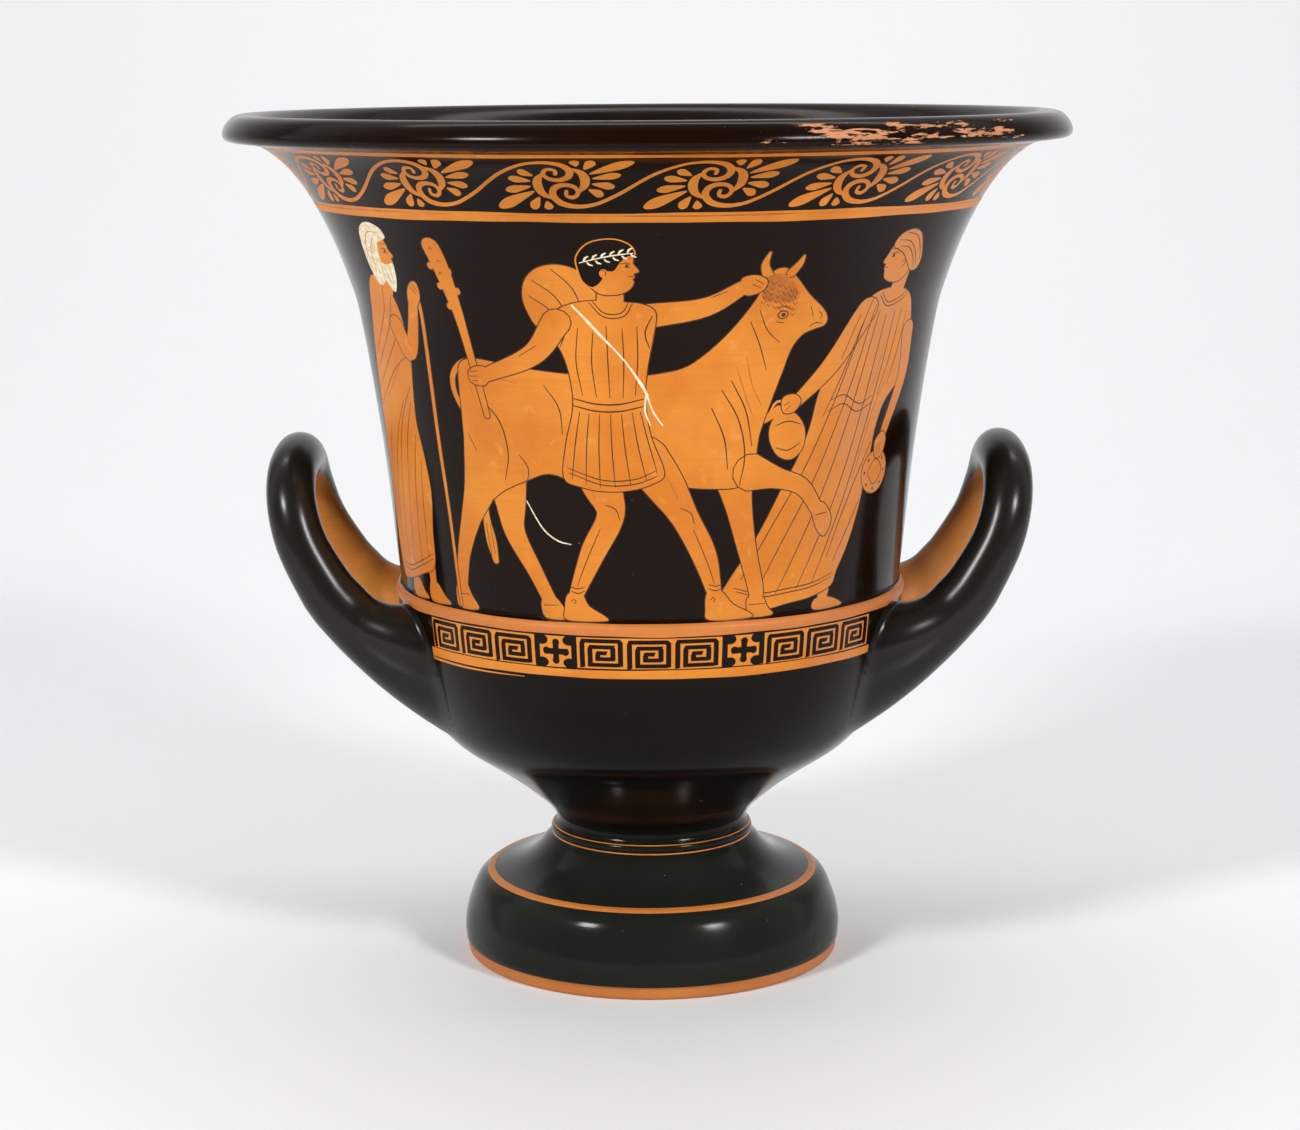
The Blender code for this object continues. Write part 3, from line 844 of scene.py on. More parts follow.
finishes = np.full(len(triangles), SLIP)
for outline, finish in painting:
    low, high = np.searchsorted(middle[:, 0], (outline[:, 0].min(), outline[:, 0].max()))
    x, y = middle[low:high].T
    x0, y0 = outline.T[:, :, None]
    x1, y1 = np.roll(outline, -1, axis=0).T[:, :, None]
    level = y1 == y0
    meets = x0 + (y - y0) * (x1 - x0) / np.where(level, 1, y1 - y0)
    crossed = ((y0 > y) != (y1 > y)) & (x < meets)
    finishes[low:high][crossed.sum(axis=0) % 2 == 1] = finish
print("triangles on the label:", len(triangles), "by finish:", np.bincount(finishes, minlength=5))

# %% [markdown]
# ## The skins that are only turned
#
# Lip, inside, lower bowl, collar and foot carry at most plain stripes, so each is a net of rings. The rings
# have the same number of columns as the label, and the nets meet point on point.

# %% Turned skins
skins = []
bake_used = [0.645]
BAKE_PER_MM, BAKE_GAP = 0.00062, 0.003


def next_room(length):
    """A strip of the bake map for a turned skin, on top of the last one: left, bottom, right, top."""
    low, high = bake_used[0], bake_used[0] + length * BAKE_PER_MM
    bake_used[0] = high + BAKE_GAP
    return 0.01, low, 0.99, high


def turned(outline, finish=SLIP, step=3.4, room=None):
    """A skin from an outline that runs with the clay on its right: quads between neighbouring rings."""
    line_points = evenly(np.maximum(outline, 0.0), step)
    normal = outward(line_points[::-1])[::-1]
    across, row = (grid.ravel() for grid in np.meshgrid(net_across, np.arange(len(line_points))))
    place = wrap(across, line_points[row, 0], line_points[row, 1])
    facing = wrap(across, normal[row, 0], normal[row, 1])
    wide = COLUMNS + 1
    start = (np.arange(len(line_points) - 1)[:, None] * wide + np.arange(COLUMNS)).ravel()
    quads = np.column_stack([start, start + 1, start + wide + 1, start + wide])
    along = lengths(line_points)
    share = np.column_stack([(across - LABEL_LEFT) / LABEL_WIDTH, along[row] / along[-1]])
    skins.append((place, facing, quads, np.full(len(quads), finish), share, room or next_room(along[-1])))


INSIDE = [
    (176.7, 399.9), (167.6, 392.7), (158.6, 382.3), (151.1, 370.2), (142.9, 353.4), (136.2, 334.5),
    (131.8, 320.0), (124.8, 280.0), (119.5, 240.0), (115.2, 200.0), (114.0, 178.0), (111.2, 150.0),
    (106.2, 135.0), (98.0, 120.0), (89.4, 112.0), (71.2, 100.0), (57.6, 90.0), (48.0, 83.5), (34.0, 77.6),
    (16.0, 75.2), (0.0, 74.8),
]
COLLAR = [
    (SLIP, [(47.2, 63.3), (48.4, 62.95)]),
    (CLAY, [(48.4, 62.95), (48.9, 62.6)]),
    (SLIP, [(48.9, 62.6), (49.45, 61.8), (49.6, 60.6), (49.4, 59.3), (49.0, 58.8)]),
    (CLAY, [(49.0, 58.8), (49.3, 58.3)]),
]
SLOPE = [(49.3, 58.3), (50.6, 57.5), (53.0, 54.8), (57.0, 50.3), (62.5, 46.0), (70.0, 42.8), (77.9, 40.75)]
RING = [(77.9, 40.75), (79.6, 40.4), (80.6, 40.1), (81.1, 39.5), (81.4, 39.2)]
BULGE = [
    (81.4, 39.2), (84.0, 37.6), (86.4, 34.8), (88.6, 30.0), (90.7, 24.0), (92.2, 18.0), (92.8, 12.0),
    (92.4, 6.3),
]
FOOT_EDGE = [(92.4, 6.3), (91.5, 5.6), (91.35, 4.2), (91.35, 1.2), (90.9, 0.3), (90.4, 0.0)]
UNDERSIDE = [
    (90.4, 0.0), (78.6, 0.0), (77.2, 1.4), (76.6, 4.0), (75.6, 13.0), (73.2, 21.5), (68.7, 26.7),
    (49.5, 37.4), (34.4, 46.6), (19.2, 56.4), (0.0, 59.8),
]

turned(smooth(INSIDE[::-1], 6), SLIP, 11.0, room=(0.01, 0.85, 0.50, 0.99))
turned(smooth(LIP, 5), SLIP, 1.9)
turned(smooth(BOWL, 6), SLIP, 4.4)
for finish, outline in COLLAR:
    turned(smooth(outline, 4) if len(outline) > 2 else outline, finish, 0.9)
turned(smooth(SLOPE, 5), SLIP, 2.8)
turned(smooth(RING, 4), CLAY, 0.7)
turned(smooth(BULGE, 6), SLIP, 2.4)
turned(smooth(FOOT_EDGE, 4), CLAY, 1.0)
turned(smooth(UNDERSIDE, 4), CLAY, 10.0, room=(0.01, 0.595, 0.49, 0.640))
print("turned quads:", sum(len(skin[2]) for skin in skins), "bake map used up to", round(bake_used[0], 3))

# %% [markdown]
# ## The handles
#
# Each handle is a rolled rope of clay, bent into an arch and pressed on at both ends. Its middle line is a
# spline, and rings stand square across it. At the roots the rings change, one by one, into an oval that
# lies flat on the bowl. The curves between the two are cubic. Below they leave along the bowl's skin, so
# that the join has no step, and above they leave level.

# %% Handles
SIDES = 36
ROOT_HEIGHT, ROOT_OFFSET = 148.0, 44.5
ROOT_HALF_WIDTH, ROOT_HALF_DROP = 24.0, 33.0
ROOT_RADIUS, ROOT_RINGS = 118.0, 18
FLUSH, SUNK = 0.3, 3.5
ARCH = [
    (147.4, 44.5, 180.9), (153.6, 44.1, 189.2), (164.3, 41.8, 209.0), (169.3, 36.9, 226.5),
    (170.6, 24.5, 240.1), (170.0, 0.0, 245.5),
]
THICKNESS, THICKER_AT_ROOT = 23.0, 0.22
ARCH_HEART = 196.8
bowl_curve = np.vstack([painted_outline, smooth(BOWL, 8)[1:]])
bowl_curve = bowl_curve[np.argsort(bowl_curve[:, 1])]
bowl_tilt = -np.gradient(bowl_curve[:, 0], bowl_curve[:, 1] + np.arange(len(bowl_curve)) * 1e-6)
turn = np.arange(SIDES) / SIDES * math.tau


def unit(vectors):
    """Each vector divided by its length."""
    return vectors / (np.linalg.norm(vectors, axis=-1, keepdims=True) + 1e-12)


def on_bowl(share, side, sunk):
    """An oval on the bowl's skin: up and across are the sine and cosine of the turn."""
    height = ROOT_HEIGHT + ROOT_HALF_DROP * share * np.sin(turn)
    radius = np.interp(height, bowl_curve[:, 1], bowl_curve[:, 0])
    middle_angle = math.asin(ROOT_OFFSET / ROOT_RADIUS)
    angle = side * (middle_angle + ROOT_HALF_WIDTH / radius * share * np.cos(turn))
    return np.column_stack([(radius - sunk) * np.cos(angle), (radius - sunk) * np.sin(angle), height])


def root(first_ring, along, side):
    """Cubic Bezier from the bowl to the arch: it leaves along the skin and arrives along the arch.

    On the upper side it leaves level instead, so that the inner edge runs in one bow to the ledge.
    """
    start = on_bowl(1.0, side, FLUSH)
    leave_by = unit(on_bowl(0.9, side, FLUSH) - start)
    span = np.linalg.norm(first_ring - start, axis=1)[:, None]
    upper = 0.38 + 0.62 * np.clip(np.sin(turn) * 1.4, 0, 1)[:, None]
    level = unit(start * (1, 1, 0))
    leave = start + unit(leave_by * (1 - upper) + level * upper) * span * 0.42
    arrive = first_ring - along * span * 0.38
    t = (np.arange(1, ROOT_RINGS - 2) / (ROOT_RINGS - 2))[:, None, None]
    bend = start * (1 - t) ** 3 + leave * 3 * t * (1 - t) ** 2
    bend = bend + arrive * 3 * t**2 * (1 - t) + first_ring * t**3
    return [on_bowl(0.0, side, SUNK), on_bowl(1.0, side, SUNK), start, *bend]


def handle(facing):
    """All rings of one handle, from inside the wall over the arch and back into the wall."""
    centre = evenly(smooth([*ARCH, *[(x, -y, z) for x, y, z in ARCH[-2::-1]]], 10), 4.0)
    along = unit(np.gradient(centre, axis=0))
    away = (centre - (0, 0, ARCH_HEART)) * (0, 1, 1)
    away = unit(away - along * (away * along).sum(1)[:, None])
    side = np.cross(along, away)
    swell = 1 + THICKER_AT_ROOT * np.abs(np.linspace(-1, 1, len(centre))) ** 3
    radius = (THICKNESS / 2 * swell)[:, None, None]
    round_it = np.cos(turn)[None, :, None] * away[:, None] + np.sin(turn)[None, :, None] * side[:, None]
    arch = centre[:, None] + radius * round_it
    rings = np.array([*root(arch[0], along[0], 1), *arch, *root(arch[-1], -along[-1], -1)[::-1]])
    rings[..., :2] *= facing
    return rings


def handle_skin(facing, room):
    """Quads between the rings. Near the bowl the normal leans to the bowl's own, so that the join is soft."""
    rings = handle(facing)
    count = len(rings)
    round_ring = np.roll(rings, -1, axis=1) - np.roll(rings, 1, axis=1)
    normal = unit(np.cross(np.gradient(rings, axis=0), round_ring))
    middle = rings.mean(axis=1, keepdims=True)
    normal *= np.sign((normal * (rings - middle)).sum(-1).mean())
    place, normal = rings.reshape(-1, 3), normal.reshape(-1, 3)
    reach = np.hypot(place[:, 0], place[:, 1])
    skin = np.interp(place[:, 2], bowl_curve[:, 1], bowl_curve[:, 0])
    lean = np.interp(place[:, 2], bowl_curve[:, 1], bowl_tilt)
    of_bowl = np.column_stack([place[:, 0] / reach, place[:, 1] / reach, lean])
    share = np.clip((reach - skin) / 5.0, 0, 1)[:, None]
    share = share * share * (3 - 2 * share)
    normal = unit(normal * share + unit(of_bowl) * (1 - share))
    start = (np.arange(count - 1)[:, None] * SIDES + np.arange(SIDES)).ravel()
    after = (np.arange(count - 1)[:, None] * SIDES + (np.arange(SIDES) + 1) % SIDES).ravel()
    quads = np.column_stack([start, after, after + SIDES, start + SIDES])
    ring, column = np.divmod(np.arange(count * SIDES), SIDES)
    share = np.column_stack([column / SIDES, ring / (count - 1)])
    return place, normal, quads, np.full(len(quads), HANDLE), share, room


# %% [markdown]
# ## One piece
#
# The label, the turned skins and the two handles become one mesh. Every point brings its exact normal, kept
# as an attribute while points that coincide are merged, and handed to Blender as custom normals afterwards.

# %% The mesh
radius_up = np.interp(flat[:, 1], UP, painted_outline[:, 0])
height_up = np.interp(flat[:, 1], UP, painted_outline[:, 1])
tilt = np.column_stack([np.interp(flat[:, 1], UP, PAINTED_NORMAL[:, k]) for k in (0, 1)])
label_normal = wrap(flat[:, 0], tilt[:, 0], tilt[:, 1])
label_share = (flat - (LABEL_LEFT, 0)) / (LABEL_WIDTH, LABEL_TOP)
parts = [
    (wrap(flat[:, 0], radius_up, height_up), label_normal, triangles, finishes, label_share, None),
    *skins,
    handle_skin(1.0, (0.52, 0.85, 0.74, 0.99)),
    handle_skin(-1.0, (0.76, 0.85, 0.98, 0.99)),
]

BAKE_NAME = "OFBake"
LOOP_REACH, LOOP_HEIGHT = 131.0, 200.0
DARK_ROOM = (0.01, 0.002, 0.99, 0.292)
BARE_ROOM = (0.01, 0.296, 0.99, 0.586)
WHITE_ROOM = (0.51, 0.595, 0.99, 0.640)
LABEL_ROOMS = {SLIP: DARK_ROOM, LINE: DARK_ROOM, CLAY: BARE_ROOM, WASH: BARE_ROOM, WHITE: WHITE_ROOM}


def bake_place(share, room):
    """Shares of a room's width and height become a place on the bake map."""
    left, bottom, right, top = room
    return share * (right - left, top - bottom) + (left, bottom)


vertices, normals, faces, loops_uv, face_material = [], [], [], [], []
base = 0
for place, facing, cells, finish, share, room in parts:
    corners = place[cells]
    flat_normal = np.cross(corners[:, 1] - corners[:, 0], corners[:, 2] - corners[:, 0])
    wrong = (flat_normal * facing[cells].mean(axis=1)).sum(axis=1) < 0
    cells = cells.copy()
    cells[wrong] = cells[wrong][:, ::-1]
    for kind in range(6):
        chosen = cells[finish == kind]
        if len(chosen):
            faces.extend((chosen + base).tolist())
            loops_uv.append(bake_place(share[chosen.ravel()], room or LABEL_ROOMS[kind]))
            face_material.append(np.full(len(chosen), kind))
    vertices.append(place)
    normals.append(facing)
    base += len(place)

mesh = bpy.data.meshes.new("krater_skin")
mesh.from_pydata((np.vstack(vertices) * MM).tolist(), [], faces)
all_places, all_normals = np.vstack(vertices), np.vstack(normals)
_, shared = np.unique(np.round(all_places * 500).astype(int), axis=0, return_inverse=True)
shared = shared.ravel()
summed = np.column_stack([np.bincount(shared, all_normals[:, k]) for k in range(3)])
all_normals = unit(summed[shared])
is_handle = np.repeat([False] * (len(parts) - 2) + [True] * 2, [len(v) for v in vertices])
loop_heart = np.sign(all_places[:, :1]) * (LOOP_REACH, 0, 0) + (0, 0, LOOP_HEIGHT)
reserved = np.sum(all_normals * unit(loop_heart - all_places), axis=1) * is_handle
mesh.attributes.new("skin_normal", "FLOAT_VECTOR", "POINT").data.foreach_set("vector", all_normals.ravel())
mesh.attributes.new("reserved", "FLOAT", "POINT").data.foreach_set("value", reserved)
mesh.uv_layers.new(name=BAKE_NAME).data.foreach_set("uv", np.vstack(loops_uv).ravel())
mesh.polygons.foreach_set("material_index", np.concatenate(face_material))
build = bmesh.new()
build.from_mesh(mesh)
bmesh.ops.remove_doubles(build, verts=build.verts, dist=2e-6)
bmesh.ops.dissolve_degenerate(build, dist=1e-7, edges=build.edges)
print("open edges:", sum(not e.is_manifold for e in build.edges))
build.to_mesh(mesh)
build.free()
kept = np.empty(len(mesh.vertices) * 3)
mesh.attributes["skin_normal"].data.foreach_get("vector", kept)
mesh.shade_smooth()
mesh.normals_split_custom_set_from_vertices(unit(kept.reshape(-1, 3)).tolist())
krater = bpy.data.objects.new("krater_pot", mesh)
bpy.context.scene.collection.objects.link(krater)
print("krater:", len(mesh.vertices), "points,", len(mesh.polygons), "faces")

# %% [markdown]
# ## Finishes
#
# All finishes share one helper group that says where a point is on the pot: its height, its angle and how
# far it is from the axis. The slip is a dark glass-like coat with wheel marks, and is flaked on the lip.
# The clay is warm and only polished.

# %% Node helpers
class Tree:
    """A short way to add nodes and join them."""

    def __init__(self, tree):
        self.tree = tree

    def feed(self, sockets, values):
        """Each named socket takes a link from another socket or a value of its own."""
        for name, value in values.items():
            if isinstance(value, bpy.types.NodeSocket):
                self.tree.links.new(value, sockets[name])
            else:
                sockets[name].default_value = value

    def add(self, kind, inputs=None, **settings):
        node = self.tree.nodes.new(kind)
        for name, value in settings.items():
            setattr(node, name, value)
        self.feed(node.inputs, inputs or {})
        return node

    def group(self, group):
        """The outputs of a shared group."""
        return self.add("ShaderNodeGroup", node_tree=group).outputs

    def math(self, operation, a, b=0.0, c=0.0):
        return self.add("ShaderNodeMath", {0: a, 1: b, 2: c}, operation=operation).outputs[0]

    def times(self, a, b):
        return self.math("MULTIPLY", a, b)

    def stretched(self, vector, by):
        """A vector with each of its three parts multiplied."""
        return self.add("ShaderNodeVectorMath", {0: vector, 1: by}, operation="MULTIPLY").outputs[0]

    def ramp(self, value, low, high, to_low=0.0, to_high=1.0):
        """A value mapped from low..high to to_low..to_high, held at its ends."""
        inputs = {"Value": value, "From Min": low, "From Max": high, "To Min": to_low, "To Max": to_high}
        return self.add("ShaderNodeMapRange", inputs, interpolation_type="SMOOTHSTEP").outputs[0]

    def noise(self, vector, scale, detail=3.0, roughness=0.55):
        inputs = {"Vector": vector, "Scale": scale, "Detail": detail, "Roughness": roughness}
        return self.add("ShaderNodeTexNoise", inputs).outputs[0]

    def mix(self, share, a, b):
        return self.add("ShaderNodeMix", {0: share, 6: a, 7: b}, data_type="RGBA").outputs[2]


def new_group(name, **outputs):
    """An empty node group with the named outputs, its tree and the inputs of its output node."""
    group = bpy.data.node_groups.new(name, "ShaderNodeTree")
    for label, kind in outputs.items():
        group.interface.new_socket(label, in_out="OUTPUT", socket_type="NodeSocket" + kind)
    return group, Tree(group), group.nodes.new("NodeGroupOutput").inputs


# %% Where on the pot
place_group, t, out = new_group(
    "place on the pot", Height="Float", Angle="Float", Radius="Float", Position="Vector",
)
position = t.add("ShaderNodeTexCoord").outputs["Object"]
axes = t.add("ShaderNodeSeparateXYZ", {0: position}).outputs
angle = t.math("ARCTAN2", axes[0], t.times(axes[1], -1.0))
level = t.stretched(position, (1.0, 1.0, 0.0))
radius = t.add("ShaderNodeVectorMath", {0: level}, operation="LENGTH").outputs["Value"]
t.feed(out, {"Height": axes[2], "Angle": angle, "Radius": radius, "Position": position})

# %% [markdown]
# Wheel marks are fine rings left by the turning wheel and the brush. Noise whose height is stretched far
# more than its width gives streaks that run round the pot.

# %% Wheel marks
marks_group, t, out = new_group("wheel marks", Streaks="Float", Mottle="Float")
position = t.group(place_group)["Position"]
streaks = t.noise(t.stretched(position, (14.0, 14.0, 900.0)), 1.0, 4.0)
t.feed(out, {"Streaks": streaks, "Mottle": t.noise(position, 22.0, 4.0)})

# %% [markdown]
# The slip has flaked off the lip's outer side, where hands and lids touched it. It is bare where noise is
# above a limit. The limit is lower on the right of the front, and lowest in the middle of that stretch.

# %% Flakes
flake_group, t, out = new_group("flaked slip", Bare="Float", Speck="Float")
where = t.group(place_group)
height, angle = where["Height"], where["Angle"]
on_lip = t.times(t.ramp(height, 0.3982, 0.4005), t.ramp(height, 0.4092, 0.4070))
on_lip = t.times(on_lip, t.ramp(where["Radius"], 0.1900, 0.1930))
on_right = t.times(t.ramp(angle, 0.12, 0.24), t.ramp(angle, 1.16, 0.98))
heart_of = t.times(t.ramp(angle, 0.20, 0.36), t.ramp(angle, 1.02, 0.84))
patch = t.noise(t.stretched(where["Position"], (58.0, 58.0, 420.0)), 1.0, 6.0, 0.68)
limit = t.math("SUBTRACT", 0.715, t.times(on_right, 0.065))
limit = t.math("SUBTRACT", limit, t.times(heart_of, 0.100))
bare = t.times(t.math("GREATER_THAN", patch, limit), t.math("GREATER_THAN", on_lip, 0.45))
speck = t.ramp(t.noise(where["Position"], 330.0, 4.0, 0.6), 0.748, 0.760)
t.feed(out, {"Bare": bare, "Speck": speck})

# %% [markdown]
# Slip and clay are each needed twice, on the bowl and on the handles, so their colour, gloss and relief
# come from a group of their own. The slip is a warm black on the wall, a neutral one on the bowl and
# greenish on the foot, and brown where the coat is thin, on the lip's underside.

# %% Slip and clay
LOOK = {"Colour": "Color", "Roughness": "Float", "Relief": "Float"}

slip_group, t, out = new_group("slip look", **LOOK)
where, marks, flakes = t.group(place_group), t.group(marks_group), t.group(flake_group)
height, mottle = where["Height"], marks["Mottle"]
low = t.mix(mottle, (0.0032, 0.0028, 0.0023, 1.0), (0.0070, 0.0064, 0.0054, 1.0))
high = t.mix(mottle, (0.0056, 0.0018, 0.0005, 1.0), (0.0112, 0.0042, 0.0018, 1.0))
foot = t.mix(mottle, (0.0100, 0.0108, 0.0080, 1.0), (0.0172, 0.0182, 0.0140, 1.0))
colour = t.mix(t.ramp(height, 0.12, 0.20), low, high)
colour = t.mix(t.ramp(height, 0.075, 0.050), colour, foot)
thin = t.times(t.ramp(height, 0.3915, 0.3950), t.ramp(height, 0.3995, 0.3975))
thin = t.times(thin, t.ramp(where["Radius"], 0.1745, 0.1770, 0.0, 0.6))
colour = t.mix(thin, colour, (0.060, 0.022, 0.010, 1.0))
bare = t.math("MAXIMUM", flakes["Bare"], flakes["Speck"])
flesh = t.mix(marks["Streaks"], (0.42, 0.15, 0.060, 1.0), (0.70, 0.34, 0.17, 1.0))
colour = t.mix(bare, colour, flesh)
rough = t.math("MAXIMUM", t.ramp(mottle, 0.3, 0.7, 0.12, 0.20), t.times(bare, 0.75))
relief = t.math("SUBTRACT", t.times(marks["Streaks"], 0.30), bare)
t.feed(out, {"Colour": colour, "Roughness": rough, "Relief": relief})

clay_group, t, out = new_group("clay look", **LOOK)
where, marks = t.group(place_group), t.group(marks_group)
height, mottle, streaks = where["Height"], marks["Mottle"], marks["Streaks"]
colour = t.mix(t.ramp(mottle, 0.35, 0.65), (0.62, 0.178, 0.012, 1.0), (0.73, 0.246, 0.024, 1.0))
pale = t.noise(where["Position"], 150.0, 2.0)
colour = t.mix(t.ramp(pale, 0.58, 0.78, 0.0, 0.45), colour, (0.78, 0.34, 0.085, 1.0))
blush = t.noise(where["Position"], 60.0, 3.0)
colour = t.mix(t.ramp(blush, 0.50, 0.80, 0.0, 0.35), colour, (0.68, 0.235, 0.055, 1.0))
colour = t.mix(t.ramp(streaks, 0.45, 0.75, 0.0, 0.25), colour, (0.57, 0.150, 0.012, 1.0))
rosy = t.times(t.ramp(where["Angle"], 0.50, 0.85), t.ramp(blush, 0.35, 0.60, 0.2, 0.75))
colour = t.mix(rosy, colour, (0.57, 0.215, 0.075, 1.0))
on_ledge = t.times(t.ramp(height, 0.1800, 0.1812), t.ramp(height, 0.1868, 0.1858))
on_ledge = t.times(on_ledge, t.ramp(where["Radius"], 0.1270, 0.1255, 0.0, 0.6))
colour = t.mix(on_ledge, colour, (0.53, 0.165, 0.058, 1.0))
colour = t.mix(t.ramp(height, 0.07, 0.03, 0.0, 0.55), colour, (0.42, 0.148, 0.054, 1.0))
t.feed(out, {"Colour": colour, "Roughness": t.ramp(mottle, 0.3, 0.7, 0.38, 0.50), "Relief": streaks})


# %% Materials
def new_material(name):
    """A Principled material and its tree."""
    material = bpy.data.materials.new(name)
    material.use_nodes = True
    tree = Tree(material.node_tree)
    return material, tree, material.node_tree.nodes["Principled BSDF"]


def connect(tree, shader, **sockets):
    """Sets or links the shader's inputs by name, with _ for a space."""
    tree.feed(shader.inputs, {name.replace("_", " "): value for name, value in sockets.items()})


def bumped(tree, height, strength, distance=0.0003):
    """A normal tipped by a relief in metres."""
    inputs = {"Height": height, "Strength": strength, "Distance": distance}
    return tree.add("ShaderNodeBump", inputs).outputs[0]


def from_group(name, group, strength, specular):
    """A material that takes its whole look from one group."""
    material, t, shader = new_material(name)
    look = t.group(group)
    connect(t, shader, Base_Color=look["Colour"], Roughness=look["Roughness"])
    connect(t, shader, Normal=bumped(t, look["Relief"], strength), Specular_IOR_Level=specular)
    return material


def handle_material():
    """Slip outside and bare clay inside the loop, parted where the skin turns towards the loop's heart.

    The strip of clay narrows towards the top.
    """
    material, t, shader = new_material("handle_skin")
    slip, clay, where = t.group(slip_group), t.group(clay_group), t.group(place_group)
    reserved = t.add("ShaderNodeAttribute", attribute_name="reserved").outputs["Fac"]
    uneven = t.math("MULTIPLY_ADD", t.noise(where["Position"], 45.0, 2.0), 0.16, reserved)
    taper = t.ramp(where["Height"], 0.2050, 0.2430, 0.0, 0.65)
    inside = t.ramp(t.math("SUBTRACT", uneven, taper), 0.450, 0.472)
    greener = t.mix(0.6, slip["Colour"], (0.0125, 0.0132, 0.0102, 1.0))
    clay_tone = t.mix(0.35, clay["Colour"], (0.58, 0.25, 0.080, 1.0))
    smoked = t.mix(t.ramp(uneven, 0.62, 0.36, 0.0, 0.75), clay_tone, (0.25, 0.100, 0.036, 1.0))
    connect(t, shader, Base_Color=t.mix(inside, greener, smoked), Specular_IOR_Level=0.26)
    connect(t, shader, Roughness=t.ramp(inside, 0.0, 1.0, 0.25, 0.5))
    connect(t, shader, Normal=bumped(t, slip["Relief"], 0.06))
    return material


def plain_paint(name, dark, light, rough, scale):
    """A brushed paint with a small mottle of its own: relief line, thin wash or added white."""
    material, t, shader = new_material(name)
    grain = t.noise(t.group(place_group)["Position"], scale, 3.0)
    colour = t.mix(t.ramp(grain, 0.35, 0.65), dark, light)
    connect(t, shader, Base_Color=colour, Roughness=rough, Normal=bumped(t, grain, 0.2, 0.0002))
    connect(t, shader, Specular_IOR_Level=0.3)
    return material


finish_materials = {
    CLAY: from_group("bare_orange_clay", clay_group, 0.10, 0.25),
    SLIP: from_group("black_gloss_slip", slip_group, 0.10, 0.11),
    LINE: plain_paint("relief_line", (0.030, 0.010, 0.004, 1.0), (0.070, 0.022, 0.006, 1.0), 0.34, 120.0),
    WASH: plain_paint("thin_brown_wash", (0.40, 0.110, 0.010, 1.0), (0.52, 0.150, 0.014, 1.0), 0.42, 160.0),
    WHITE: plain_paint("added_white", (0.70, 0.56, 0.34, 1.0), (0.90, 0.80, 0.60, 1.0), 0.70, 400.0),
    HANDLE: handle_material(),
}
for kind in range(6):
    mesh.materials.append(finish_materials[kind])
print("materials:", [m.name for m in mesh.materials])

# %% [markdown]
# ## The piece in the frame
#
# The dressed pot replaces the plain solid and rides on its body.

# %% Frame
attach(krater, "root")
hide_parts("krater")

# %% [markdown]
# ## The studio
#
# A pale floor curves up into the wall behind, in a quarter of a circle. The world is pale behind the pot
# and dark in front of it, so that the gloss stays black, and the camera itself sees it pale. Two small soft
# boxes in front give the short highlights, and a wide one lights the backdrop.

# %% Floor
FLOOR_HALF, FLOOR_FRONT = 6.0, -2.4
BEND_START, BEND_RADIUS = 0.7, 1.9
bend = np.linspace(0, math.pi / 2, 49)
arc = np.column_stack([BEND_START + BEND_RADIUS * np.sin(bend), BEND_RADIUS * (1 - np.cos(bend))])
sweep = np.vstack([(FLOOR_FRONT, 0), arc, arc[-1] + (0, 1.5)])
across, row = np.meshgrid([-FLOOR_HALF, FLOOR_HALF], np.arange(len(sweep)))
floor_points = np.column_stack([across.ravel(), sweep[row.ravel(), 0], sweep[row.ravel(), 1] - 0.0001])
start = np.arange(len(sweep) - 1) * 2
floor_mesh = bpy.data.meshes.new("floor")
floor_mesh.from_pydata(
    floor_points.tolist(),
    [],
    np.column_stack([start, start + 1, start + 3, start + 2]).tolist(),
)
floor_mesh.shade_smooth()
floor = bpy.data.objects.new("floor", floor_mesh)
bpy.context.scene.collection.objects.link(floor)
floor_material, t, shader = new_material("pale_floor")
connect(t, shader, Base_Color=(0.80, 0.80, 0.80, 1.0), Roughness=0.8)
floor_mesh.materials.append(floor_material)

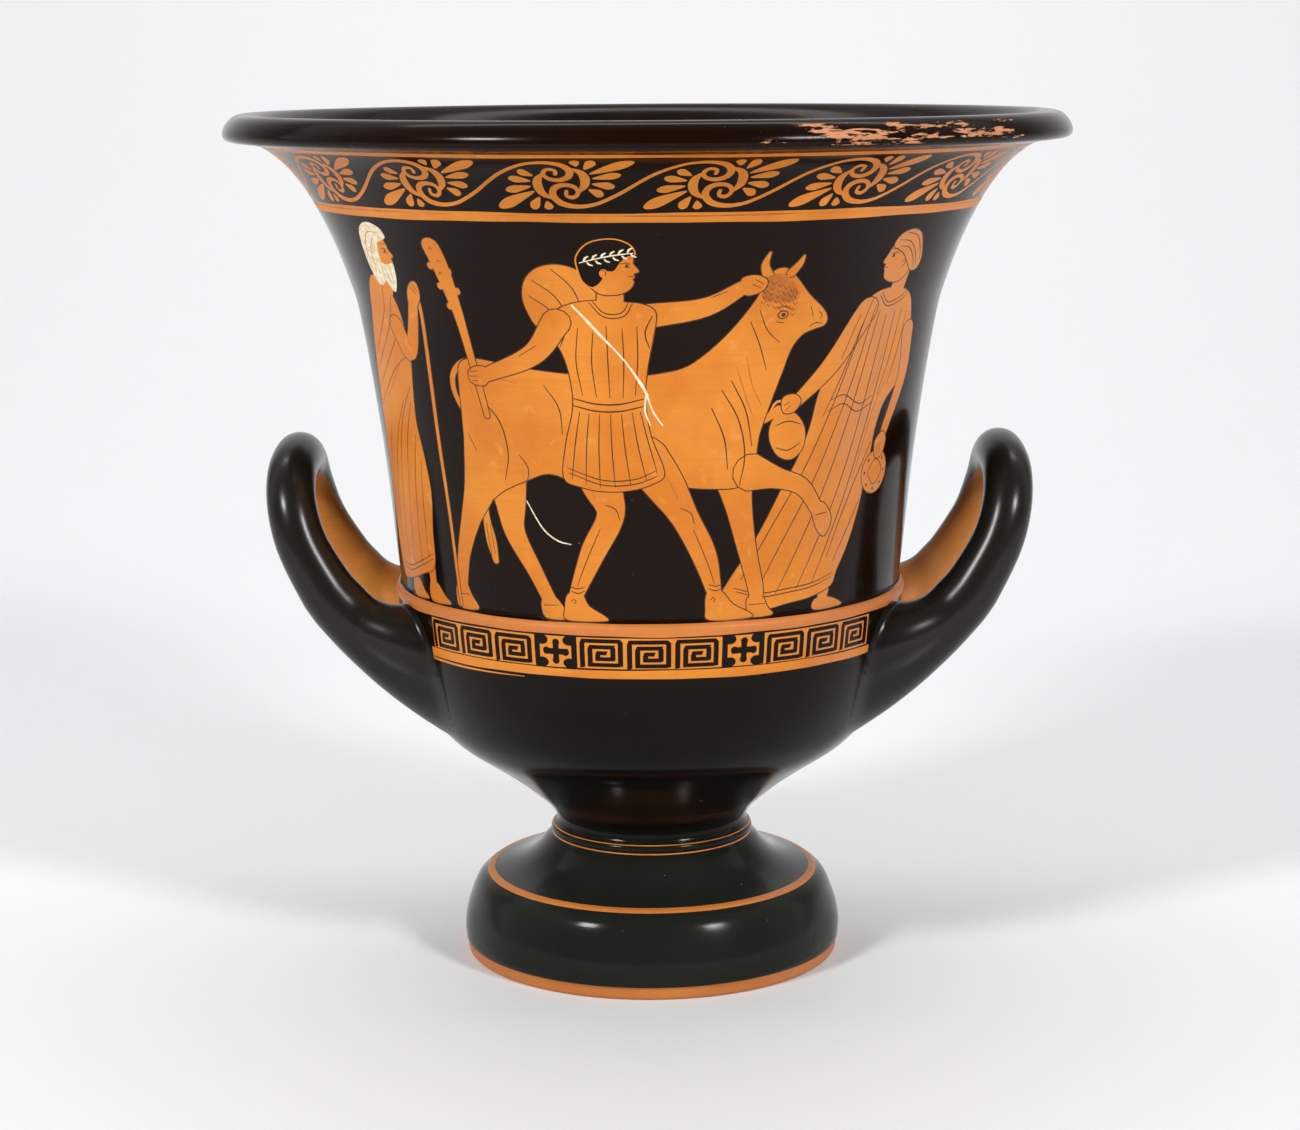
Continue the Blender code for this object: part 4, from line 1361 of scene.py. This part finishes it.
# %% Light
world = bpy.data.worlds.new("studio")
world.use_nodes = True
sky = Tree(world.node_tree)
way = sky.add("ShaderNodeSeparateXYZ", {0: sky.add("ShaderNodeTexCoord").outputs["Generated"]}).outputs
shade = sky.mix(sky.ramp(way[1], -0.45, 0.45), (0.12, 0.12, 0.13, 1.0), (0.86, 0.88, 0.92, 1.0))
shade = sky.mix(sky.add("ShaderNodeLightPath").outputs["Is Camera Ray"], shade, (0.90, 0.91, 0.93, 1.0))
connect(sky, world.node_tree.nodes["Background"], Color=shade, Strength=0.9)
bpy.context.scene.world = world
bpy.context.scene.view_settings.view_transform = "Standard"


def soft_box(name, at, toward, size, watts):
    """A rectangular lamp at one point, turned to face another."""
    lamp = bpy.data.lights.new(name, "AREA")
    lamp.shape = "RECTANGLE"
    lamp.size, lamp.size_y = size
    lamp.energy = watts
    box = bpy.data.objects.new(name, lamp)
    box.location = at
    box.rotation_euler = (Vector(toward) - Vector(at)).to_track_quat("-Z", "Y").to_euler()
    bpy.context.scene.collection.objects.link(box)


soft_box("left_box", (-1.55, -1.55, 1.55), (0, 0, 0.2), (0.42, 0.42), 39)
soft_box("right_box", (1.55, -1.7, 1.45), (0, 0, 0.2), (0.42, 0.42), 39)
soft_box("backdrop_box", (0, 0.7, 2.5), (0, 2.6, 0.5), (2.6, 0.8), 36)

# %% [markdown]
# ## The camera
#
# The photograph's camera was found from its ellipses: 1.36 m from the pot's axis, a little above the lip,
# and turned 10.27 degrees down. The pot leans to one side by a third of a degree in it, so the camera is
# rolled by that.

# %% Camera
PITCH, ROLL = math.radians(90 - 10.27), math.radians(-0.35)
camera = bpy.data.objects.new("camera", bpy.data.cameras.new("camera"))
camera.data.sensor_width = 36.0
camera.data.lens = 78.4
camera.location = (0.0, -1.361, 0.4375)
camera.rotation_euler = (Matrix.Rotation(PITCH, 3, "X") @ Matrix.Rotation(ROLL, 3, "Z")).to_euler()
bpy.context.scene.collection.objects.link(camera)
bpy.context.scene.camera = camera
